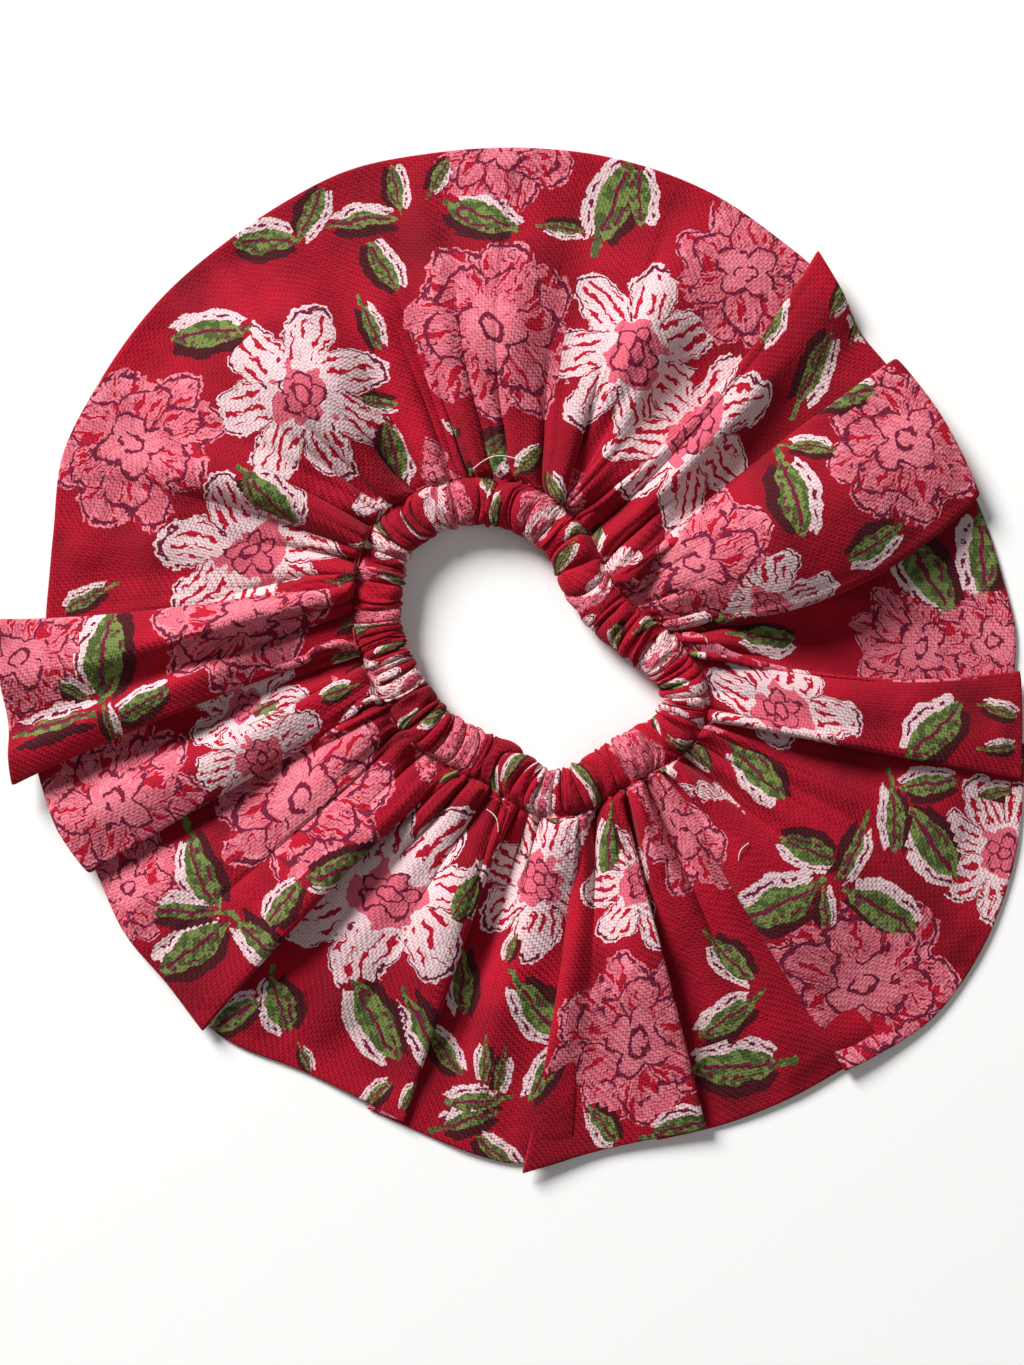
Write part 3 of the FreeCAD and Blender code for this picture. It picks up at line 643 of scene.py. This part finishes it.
def whiteDrawing(node, at, ground):
    # striped pointed petals round a pink heart of small petals
    facts = drawing["white"]
    radius, unbroken = at["radius"], at["unbroken"]
    edge, dip, phase = petals(node, at["angle"], at["turned"], *facts["petals"], breadth=facts["breadth"])
    inside = node("Math", radius, edge, operation="LESS_THAN")
    turns = node("Math", phase, 0.3183, 0.5, operation="MULTIPLY_ADD")
    lobe = node("Math", turns, 1.0, 0.0, operation="WRAP")
    aside = node("Math", node("Math", lobe, 0.5, operation="SUBTRACT"), radius, operation="MULTIPLY")
    wave = node("Math", node("Math", aside, facts["stripes"], operation="MULTIPLY"), operation="SINE")
    stripes = node("Math", wave, 0.35, operation="GREATER_THAN")
    limits = [(radius, 0.4), (node("Math", edge, radius, operation="SUBTRACT"), 0.13), (at["strokes"], 0.44)]
    for value, limit in limits:
        stripes = node("Math", stripes, node("Math", value, limit, operation="GREATER_THAN"),
                       operation="MULTIPLY")
    between = node("Math", node("Math", dip, radius, operation="MULTIPLY"), facts["line"], operation="LESS_THAN")
    between = node("Math", between, node("Math", radius, 0.36, operation="GREATER_THAN"), operation="MULTIPLY")
    rim = node("Math", node("Math", edge, 0.05, operation="SUBTRACT"), radius, 0.018, operation="COMPARE")
    lines = node("Math", node("Math", rim, between, operation="MAXIMUM"), unbroken, operation="MULTIPLY")
    lines = node("Math", lines, inside, operation="MULTIPLY")
    heart, heartDip, phase = petals(node, at["angle"], at["deep"], *facts["heart"])
    spokes = node("Math", node("Math", heartDip, radius, operation="MULTIPLY"), 0.016, operation="LESS_THAN")
    spokes = node("Math", spokes, node("Math", radius, heart, operation="LESS_THAN"), operation="MULTIPLY")
    spokes = node("Math", spokes, node("Math", radius, facts["eye"], operation="GREATER_THAN"),
                  operation="MULTIPLY")
    for ringOf, width in ((heart, 0.018), (facts["eye"], 0.016)):
        lines = node("Math", lines, node("Math", radius, ringOf, width, operation="COMPARE"),
                     operation="MAXIMUM")
    lines = node("Math", lines, spokes, operation="MAXIMUM")
    wash = node("Math", node("Math", at["patchy"], 0.5, radius, operation="MULTIPLY_ADD"), 0.56,
                operation="LESS_THAN")
    colour = node("MixRGB", wash, inks["pale"], inks["rose"])
    colour = node("MixRGB", stripes, colour, inks["streak"])
    return node("MixRGB", lines, node("MixRGB", inside, ground, colour), inks["outline"])


def leafDrawing(node, at, ground, broad):
    # green leaf between a pale edge and a dark one, with a vein, a stem and a broken outline
    facts = drawing["leaf"]
    x, y, patchy = at["x"], at["y"], at["patchy"]
    square = node("Math", x, x, operation="MULTIPLY")
    taper = node("Math", square, -1.0, 1.0, operation="MULTIPLY_ADD", use_clamp=True)
    half = node("Math", node("Math", taper, 0.8, operation="POWER"),
                node("Math", broad, facts["width"], operation="MULTIPLY"), operation="MULTIPLY")
    bands = []
    for offset in (0.0, facts["pale"], facts["dark"], facts["rim"]):
        bands.append(node("Math", node("Math", y, offset, operation="SUBTRACT"), operation="ABSOLUTE"))
    green, pale, dark = (node("Math", band, half, operation="LESS_THAN") for band in bands[:3])
    rim = node("Math", node("Math", bands[3], half, 0.035, operation="COMPARE"),
               node("Math", taper, 0.03, operation="GREATER_THAN"), operation="MULTIPLY")
    rim = node("Math", rim, node("Math", patchy, 0.49, operation="GREATER_THAN"), operation="MULTIPLY")
    vein = node("Math", node("Math", y, 0.02, 0.05, operation="COMPARE"),
                node("Math", taper, 0.45, operation="GREATER_THAN"), operation="MULTIPLY")
    stem = node("Math", node("Math", y, 0.0, 0.07, operation="COMPARE"),
                node("Math", x, -1.15, 0.3, operation="COMPARE"), operation="MULTIPLY")
    mottled = node("MixRGB", node("Math", patchy, 0.5, operation="GREATER_THAN"), inks["leaf"],
                   inks["leafDeep"])
    colour = node("MixRGB", dark, ground, inks["shadow"])
    colour = node("MixRGB", pale, colour, inks["pale"])
    colour = node("MixRGB", node("Math", green, stem, operation="MAXIMUM"), colour, mottled)
    return node("MixRGB", node("Math", rim, vein, operation="MAXIMUM"), colour, inks["outline"])


def printedColour(node):
    # hand-block print: ragged motifs, with outline, pale and shadow blocks that don't quite register
    facts = node("Attribute", out=1, attribute_name="motifFacts")
    kind, variant, broad = node("SeparateXYZ", facts, out=None)
    place = node("UVMap", uv_map="motif")
    deep = node("Math", variant, 40.0, operation="MULTIPLY")
    own = node("VectorMath", place, node("CombineXYZ", None, None, deep), operation="ADD")
    wobble = node("TexNoise", out=1, named={"Vector": own, "Scale": 2.1, "Detail": 2.0})
    ragged = node("TexNoise", out=1, named={"Vector": own, "Scale": 13.0, "Detail": 2.0})
    shift = node("VectorMath", wobble, (0.34, 0.34, 0), (-0.17, -0.17, 0), operation="MULTIPLY_ADD")
    shift = node("VectorMath", ragged, (0.11, 0.11, 0), shift, operation="MULTIPLY_ADD")
    shift = node("VectorMath", shift, (0.055, 0.055, 0), operation="SUBTRACT")
    x, y, z = node("SeparateXYZ", node("VectorMath", place, shift, operation="ADD"), out=None)
    radius = node("VectorMath", node("CombineXYZ", x, y), out=1, operation="LENGTH")
    angle = node("Math", y, x, operation="ARCTAN2")
    turned = node("Math", variant, 6.28, operation="MULTIPLY")
    patchy = node("TexNoise", named={"Vector": own, "Scale": 5.0, "Detail": 1.0})
    unbroken = node("Math", patchy, 0.42, operation="GREATER_THAN")
    polar = node("CombineXYZ", node("Math", angle, 2.6, turned, operation="MULTIPLY_ADD"), radius)
    strokes = node("TexNoise", named={"Vector": polar, "Scale": 3.4, "Detail": 1.0})
    at = {"x": x, "y": y, "radius": radius, "angle": angle, "turned": turned, "deep": deep, "patchy": patchy,
          "unbroken": unbroken, "strokes": strokes}

    cloudy = node("TexNoise", named={"Vector": node("TexCoord", out=3), "Scale": 60.0, "Detail": 3.0})
    cloudy = node("Math", cloudy, 2.6, -0.7, operation="MULTIPLY_ADD", use_clamp=True)
    ground = node("MixRGB", cloudy, inks["groundDeep"], inks["ground"])
    drawings = [roseDrawing(node, at, ground), whiteDrawing(node, at, ground),
                leafDrawing(node, at, ground, broad)]
    colour = ground
    for number, motif in enumerate(drawings):
        chosen = node("Math", kind, float(number), 0.4, operation="COMPARE")
        colour = node("MixRGB", chosen, colour, motif)
    return colour


def weave(node, pitch):
    # plain weave: each thread passes over one and under the next
    place = node("UVMap", uv_map="threads")
    x, y, z = node("SeparateXYZ", place, out=None)
    waves = [node("Math", node("Math", axis, math.pi / pitch, operation="MULTIPLY"), operation="SINE")
             for axis in (x, y)]
    crossing = node("Math", node("Math", *waves, operation="MULTIPLY"), 0.0, operation="GREATER_THAN")
    bars = [node("Math", wave, operation="ABSOLUTE") for wave in waves]
    height = node("Mix", crossing, None, *bars, data_type="FLOAT")
    slubs = node("TexNoise", named={"Vector": place, "Scale": 1.3, "Detail": 2.0})
    return node("Math", slubs, 0.8, height, operation="MULTIPLY_ADD")


# light cotton voile, plain woven and block printed by hand, washed soft: dull, a little fuzzy.
# its real threads are about 0.4 mm apart; they are drawn 0.6 mm apart so that they show
def cottonMaterial():
    material, shader, node = newMaterial("blockPrintedCotton")
    woven = weave(node, 0.6)
    # painted shade and highlight: the colour darkens where the weave's threads dip and lightens where they rise,
    # mixed with random tone from the slubs
    shade = node("MapRange", woven, 0.2, 1.5, 0.68, 1.2)
    threadShadeAndSlubTone = node("CombineXYZ", shade, shade, shade)
    colour = node("MixRGB", 1.0, printedColour(node), threadShadeAndSlubTone, blend_type="MULTIPLY")
    creases = node("TexNoise", named={"Vector": node("TexCoord", out=3), "Scale": 190.0, "Detail": 4.0,
                                      "Roughness": 0.6})
    bump = node("Bump", named={"Strength": 0.55, "Distance": 0.0008, "Height": creases})
    bump = node("Bump", named={"Strength": 0.5, "Distance": 0.00015, "Height": woven, "Normal": bump})
    shader.inputs["Specular IOR Level"].default_value = 0.15
    shader.inputs["Sheen Roughness"].default_value = 0.5
    return finish(material, shader, colour, bump, roughness=0.86, sheen=0.04)


def ringPlace(distance, arc):
    # plan position at a distance from the opening's edge and an arc length along the sewn line
    arc = np.asarray(arc, float)
    edge, outwards = ringPoint(openingEdge, arc), ringPoint(openingOutwards, arc)
    return edge + outwards / np.linalg.norm(outwards, axis=-1)[..., None] * np.asarray(distance)[..., None]


def ringAttribute(piece):
    # a map of the piece's own: millimetres along the ring and across it
    points = np.array([v.co[:] for v in piece.data.vertices]) / toMetres
    turn = np.degrees(np.arctan2(points[:, 1] - ring["centre"][1], points[:, 0] - ring["centre"][0]))
    place = np.array([arcAt(a) for a in turn])
    edge = ringPoint(openingEdge, place)
    attribute = piece.data.attributes.new("ringPlace", "FLOAT_VECTOR", "POINT")
    values = np.column_stack([place, np.linalg.norm(points[:, :2] - edge, axis=1), points[:, 2]])
    attribute.data.foreach_set("vector", values.astype(np.float32).ravel())


def band(name, distance, level, width, thickness, first=0.0, last=None):
    # a flat strip swept along the ring, whole or over part of it
    closed = last is None
    places = np.linspace(first, sewnLength if closed else last, 140 if closed else 26, endpoint=not closed)
    spots = ringPlace(distance, places)
    section = bpy.data.curves.new(name + "Section", "CURVE")
    section.dimensions = "2D"
    outline = section.splines.new("POLY")
    w, t, c = width / 2, thickness / 2, thickness * 0.3
    rim = [(-w + c, -t), (-w / 2, -t), (0, -t), (w / 2, -t), (w - c, -t), (w, -t + c), (w, t - c), (w - c, t),
           (w / 2, t), (0, t), (-w / 2, t), (-w + c, t), (-w, t - c), (-w, -t + c)]
    outline.points.add(len(rim) - 1)
    for point, (a, b) in zip(outline.points, rim):
        point.co = (a * toMetres, b * toMetres, 0, 1)
    outline.use_cyclic_u = True
    sectionPiece = bpy.data.objects.new(name + "Section", section)
    path = bpy.data.curves.new(name, "CURVE")
    path.dimensions, path.twist_mode = "3D", "Z_UP"
    line = path.splines.new("POLY")
    line.points.add(len(spots) - 1)
    for point, spot in zip(line.points, spots):
        point.co = (spot[0] * toMetres, spot[1] * toMetres, level * toMetres, 1)
    line.use_cyclic_u = closed
    path.bevel_mode, path.bevel_object, path.use_fill_caps = "OBJECT", sectionPiece, True
    curve = bpy.data.objects.new(name + "Path", path)
    bpy.context.scene.collection.objects.link(curve)
    bpy.context.view_layer.update()
    mesh = bpy.data.meshes.new_from_object(curve.evaluated_get(bpy.context.evaluated_depsgraph_get()))
    build = bmesh.new()
    build.from_mesh(mesh)
    bmesh.ops.remove_doubles(build, verts=build.verts, dist=1e-6)
    bmesh.ops.recalc_face_normals(build, faces=build.faces)
    build.to_mesh(mesh)
    build.free()
    bpy.data.objects.remove(curve)
    bpy.data.objects.remove(sectionPiece)
    mesh.name = name
    mesh.materials.clear()
    mesh.polygons.foreach_set("use_smooth", np.ones(len(mesh.polygons), bool))
    piece = bpy.data.objects.new(name, mesh)
    bpy.context.scene.collection.objects.link(piece)
    ringAttribute(piece)
    return piece


def stitches(name, starts, ends, radius):
    # short lengths of twisted thread, each a bar with rounded ends
    build = bmesh.new()
    for a, b in zip(np.asarray(starts), np.asarray(ends)):
        a, b = Vector(a), Vector(b)
        way = b - a
        place = Matrix.Translation((a + b) / 2 * toMetres) @ way.to_track_quat("Z", "Y").to_matrix().to_4x4()
        made = bmesh.ops.create_cone(build, cap_ends=True, segments=8, radius1=radius * toMetres,
                                     radius2=radius * toMetres, depth=way.length * toMetres, matrix=place)
        caps = [f for f in {f for v in made["verts"] for f in v.link_faces} if len(f.verts) == 8]
        for cap in caps:
            bmesh.ops.inset_individual(build, faces=[cap], thickness=radius * 0.45 * toMetres,
                                       depth=radius * 0.4 * toMetres)
    for face in build.faces:
        face.smooth = True
    mesh = bpy.data.meshes.new(name)
    build.to_mesh(mesh)
    build.free()
    piece = bpy.data.objects.new(name, mesh)
    bpy.context.scene.collection.objects.link(piece)
    ringAttribute(piece)
    return piece


threads = {
    "pitch": 2.6, "length": 1.8, "radius": 0.18,
    "closing": (256.5, 267.5),         # azimuths between which the threading gap is sewn shut
    "endSeam": 280,                    # azimuth of the seam that joins the strip's ends
    # loose ends that lie on the cloth: azimuth, radius, length and direction
    "stray": [(318, 54, 3.6, 62), (96, 33, 9, 12), (262, 31, 4.5, 300)], "strayRadius": 0.09,
    "loose": (274, 29.5, 3.8, 300), "looseRadius": 0.12,
}
# flat strips in the casing: distance from the opening's edge, height, width and thickness
strips = {
    "elastic": (4.7, 1.85, 5.8, 1.0),
    "lap": (4.7, 2.88, 5.8, 1.0), "lapEnds": (251, 281),
    "allowance": (3.5, 3.57, 3.6, 0.34),
    # threads through them: distance, height, length of a stitch, radius
    "seam": (3.5, 3.8, 1.5, 0.13),
    "tack": (6.7, 3.52, 1.0, 0.11), "tackEnds": (256, 276), "tackSwing": 0.6, "tackCount": 9,
}


def overCloth(grid, row, arc, lift):
    # point above or below the cloth, on a row of the grid, at an arc length along the ring
    arcOfColumn = lineValues(cloth)[:, 5] % sewnLength
    near = int(np.argmin(np.abs((arcOfColumn - arc + sewnLength / 2) % sewnLength - sewnLength / 2)))
    return grid[row, near] + np.array([0, 0, lift])


stitchArcs = np.arange(0, sewnLength - threads["length"], sewnLength / round(sewnLength / threads["pitch"]))
frontStitch = [(overCloth(frontGrid, 1, s, 0.12), overCloth(frontGrid, 1, s + threads["length"], 0.12))
               for s in stitchArcs]
backStitch = [(overCloth(backFine, 1, s, -0.12), overCloth(backFine, 1, s + threads["length"], -0.12))
              for s in stitchArcs]
sewing = stitches("casingStitches", *zip(*(frontStitch + backStitch)), threads["radius"])
closingArcs = np.linspace(arcAt(threads["closing"][0]), arcAt(threads["closing"][1]), 9)
closingEnds = [(overCloth(frontGrid, 5, s, 0.25), overCloth(frontGrid, 6, s + 0.9, 0.25)) for s in closingArcs]
closing = stitches("closingStitches", *zip(*closingEnds), 0.15)


def stripStitch(distances, height, arc, length):
    # both ends of a stitch through the strips
    return [np.append(ringPlace(d, a), height) for d, a in zip(distances, (arc, arc + length))]


seamArcs = np.arange(0, sewnLength - 1, sewnLength / round(sewnLength / threads["pitch"]))
distance, height, length, radius = strips["seam"]
seamEnds = [stripStitch((distance, distance), height, s, length) for s in seamArcs]
seamThread = stitches("seamThread", *zip(*seamEnds), radius)
elasticLoop = band("elasticLoop", *strips["elastic"])
elasticLap = band("elasticLap", *strips["lap"], *[arcAt(a) for a in strips["lapEnds"]])
allowance = band("seamAllowance", *strips["allowance"])
distance, height, length, radius = strips["tack"]
tackEnds = []
for number, arc in enumerate(np.linspace(*[arcAt(a) for a in strips["tackEnds"]], strips["tackCount"])):
    swing = strips["tackSwing"] if number % 2 else -strips["tackSwing"]
    tackEnds.append(stripStitch((distance + swing, distance - swing), height, arc, length))
lapTack = stitches("lapTack", *zip(*tackEnds), radius)

# raw edges of the strip's ends, pressed flat between the plies
seamColumn = int(np.argmin(np.abs(lineValues(cloth)[:, 5] % sewnLength - arcAt(threads["endSeam"]))))
seamRows = np.flatnonzero((depths > 0.24) & (depths < 0.9))
patch = middleGrid[seamRows][:, seamColumn - 4:seamColumn + 5]
endAllowance = gridMesh("endSeamAllowance", patch, closed=False)
thick = endAllowance.modifiers.new("thickness", "SOLIDIFY")
thick.thickness, thick.offset = 0.0004, 0
threadLift = np.array([0, 0, 0.3])      # the seam's thread shows above its edges
endRows = seamRows[::2][:-1]
endEnds = [(middleGrid[r, seamColumn] + threadLift, middleGrid[r + 1, seamColumn] + threadLift) for r in endRows]
endThread = stitches("endSeamThread", *zip(*endEnds), 0.15)


def looseEnd(azimuth, radius, length, turn, thickness):
    # a cut end of thread that curls over the cloth
    build = []
    spot = np.array([ring["centre"][0] + radius * math.cos(math.radians(azimuth)),
                     ring["centre"][1] + radius * math.sin(math.radians(azimuth))])
    ahead = np.array([math.cos(math.radians(turn)), math.sin(math.radians(turn))])
    aside = np.array([-ahead[1], ahead[0]])
    for t in np.linspace(0, 1, 9):
        flat = spot + ahead * length * (t - 0.5) + aside * 0.16 * length * math.sin(3.4 * t)
        away = np.linalg.norm(frontGrid[..., :2] - flat, axis=-1)
        top = np.where(away < 1.3, frontGrid[..., 2], -1).max()
        build.append(np.append(flat, top + thickness * 1.2 + 0.35 * math.sin(math.pi * t)))
    return build


def threadPiece(name, lines3d, thickness):
    path = bpy.data.curves.new(name, "CURVE")
    path.dimensions, path.bevel_depth, path.bevel_resolution = "3D", thickness * toMetres, 1
    path.use_fill_caps, path.resolution_u = True, 6
    for points in lines3d:
        line = path.splines.new("NURBS")
        line.points.add(len(points) - 1)
        for point, spot in zip(line.points, points):
            point.co = (*[float(c) * toMetres for c in spot], 1)
        line.order_u, line.use_endpoint_u = 3, True
    curve = bpy.data.objects.new(name + "Path", path)
    bpy.context.scene.collection.objects.link(curve)
    bpy.context.view_layer.update()
    mesh = bpy.data.meshes.new_from_object(curve.evaluated_get(bpy.context.evaluated_depsgraph_get()))
    bpy.data.objects.remove(curve)
    mesh.name = name
    piece = bpy.data.objects.new(name, mesh)
    bpy.context.scene.collection.objects.link(piece)
    ringAttribute(piece)
    return piece


strayRadius, looseRadius = threads["strayRadius"], threads["looseRadius"]
strayThreads = threadPiece("strayThreads", [looseEnd(*s, strayRadius) for s in threads["stray"]], strayRadius)
looseThread = threadPiece("looseThread", [looseEnd(*threads["loose"], looseRadius)], looseRadius)
print("threads, elastic and seams made")


# polyester sewing thread, two-ply twist 0.5 mm long: slight gloss, fine slanting ridges
def threadMaterial(name, hexCode, grooveShadeCode):
    material, shader, node = newMaterial(name)
    twist = node("TexWave", bands_direction="DIAGONAL", named={
        "Vector": node("Attribute", out=1, attribute_name="ringPlace"), "Scale": 0.62, "Distortion": 0.6,
        "Detail": 1.0})
    # painted shade: the thread's colour is darker in the grooves of its twist, where the bump dips
    colour = node("MixRGB", twist, linear(grooveShadeCode), linear(hexCode))
    bump = node("Bump", named={"Strength": 0.6, "Distance": 0.00005, "Height": twist})
    return finish(material, shader, colour, bump, roughness=0.55, sheen=0.1)


# braided elastic: white polyester yarns in slanting plaits over rubber cores 1 mm apart
def elasticMaterial():
    material, shader, node = newMaterial("braidedElastic")
    place = node("Attribute", out=1, attribute_name="ringPlace")
    cords = node("TexWave", bands_direction="Y", named={"Vector": place, "Scale": 0.31, "Distortion": 0.0})
    plaits = node("TexWave", bands_direction="DIAGONAL", named={
        "Vector": place, "Scale": 0.5, "Distortion": 0.8, "Detail": 1.0})
    height = node("Math", cords, plaits, operation="MULTIPLY")
    # painted shade: the braid's white is darker in the grooves between cords and plaits, where the bump dips
    colour = node("MixRGB", height, linear("#BFBAB0"), linear("#F3F0E8"))
    bump = node("Bump", named={"Strength": 0.8, "Distance": 0.0003, "Height": height})
    return finish(material, shader, colour, bump, roughness=0.7, sheen=0.15)


# the reverse of the printed cotton: dye that has come through the cloth, paler and blotched
def reverseMaterial():
    material, shader, node = newMaterial("cottonReverse")
    place = node("TexCoord", out=3)
    blotches = node("TexNoise", named={"Vector": place, "Scale": 130.0, "Detail": 3.0})
    colour = node("MixRGB", blotches, linear("#B23A4A"), linear("#DDA3A8"))
    woven = node("TexWave", named={"Vector": place, "Scale": 900.0, "Distortion": 1.5, "Detail": 1.0})
    bump = node("Bump", named={"Strength": 0.4, "Distance": 0.0001, "Height": woven})
    return finish(material, shader, colour, bump, roughness=0.88, sheen=0.1)


redThread = threadMaterial("redPolyesterThread", "#B81430", "#8C0C22")
whiteThread = threadMaterial("whitePolyesterThread", "#EFE9E0", "#CFC6BC")
reverse, elastic, cotton = reverseMaterial(), elasticMaterial(), cottonMaterial()
sectors = ["e", "ne", "n", "nw", "w", "sw", "s", "se"]
# piece, material, its slot, and the nodes it stands for: one name, or the start of eight sectors' names
finishes = [(frillFront, cotton, "printed_cotton", "frill_"), (frillBack, cotton, "printed_cotton", None),
            (casingPiece, cotton, "printed_cotton", "casing_"),
            (sewing, redThread, "red_thread", "casing_stitch_"),
            (closing, redThread, "red_thread", "closing_stitch"),
            (seamThread, redThread, "red_thread", "seam_thread_"),
            (endThread, redThread, "red_thread", "end_seam_thread"),
            (looseThread, redThread, "red_thread", "loose_thread"),
            (lapTack, whiteThread, "white_thread", "lap_tack_thread"),
            (strayThreads, whiteThread, "white_thread", None),
            (elasticLoop, elastic, "elastic_braid", "elastic_"),
            (elasticLap, elastic, "elastic_braid", "elastic_lap"),
            (allowance, reverse, "cotton_reverse", "seam_allowance_"),
            (endAllowance, reverse, "cotton_reverse", "end_seam_allowance")]
for piece, material, slot, stands in finishes:
    piece.data.materials.append(material)
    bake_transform(piece)
    if stands:
        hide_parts(*([stands + name for name in sectors] if stands.endswith("_") else [stands]))

# floor, lights and camera
studio = {
    "floor": "#FCFBF9",
    "sky": 0.13,
    "lights": {"key": ((-1.26, 1.56, 1.08), 0.9, 96.0), "fill": ((1.1, -0.5, 1.8), 2.4, 6.0)},
    "lens": 80, "frameWidth": 182.2, "aim": (-0.45, -3.9),
}
floorMesh = bpy.data.meshes.new("floor")
build = bmesh.new()
bmesh.ops.create_grid(build, x_segments=1, y_segments=1, size=4)
build.to_mesh(floorMesh)
build.free()
floor = bpy.data.objects.new("floor", floorMesh)
bpy.context.scene.collection.objects.link(floor)
# matt paper: fine tooth, no gloss
paper, shader, node = newMaterial("mattPaper")
tooth = node("TexNoise", named={"Vector": node("TexCoord", out=3), "Scale": 900.0, "Detail": 3.0})
bump = node("Bump", named={"Strength": 0.1, "Distance": 0.0001, "Height": tooth})
paper.node_tree.links.new(bump, shader.inputs["Normal"])
shader.inputs["Base Color"].default_value = linear(studio["floor"])
shader.inputs["Roughness"].default_value = 0.9
shader.inputs["Specular IOR Level"].default_value = 0.1
floor.data.materials.append(paper)

for name, (place, size, power) in studio["lights"].items():
    lamp = bpy.data.lights.new(name, "AREA")
    lamp.shape, lamp.size, lamp.energy = "DISK", size, power
    light = bpy.data.objects.new(name, lamp)
    light.location = place
    light.rotation_euler = (-Vector(place)).to_track_quat("-Z", "Y").to_euler()
    bpy.context.scene.collection.objects.link(light)
world = bpy.data.worlds.new("studio")
world.use_nodes = True
world.node_tree.nodes["Background"].inputs["Color"].default_value = (1, 1, 1, 1)
world.node_tree.nodes["Background"].inputs["Strength"].default_value = studio["sky"]
bpy.context.scene.world = world
bpy.context.scene.view_settings.view_transform = "Standard"

view = bpy.data.cameras.new("topView")
view.lens, view.sensor_fit, view.sensor_width = studio["lens"], "HORIZONTAL", 36
camera = bpy.data.objects.new("topView", view)
distance = studio["frameWidth"] * toMetres * studio["lens"] / view.sensor_width
camera.location = (studio["aim"][0] * toMetres, studio["aim"][1] * toMetres, distance + 0.006)
bpy.context.scene.collection.objects.link(camera)
bpy.context.scene.camera = camera
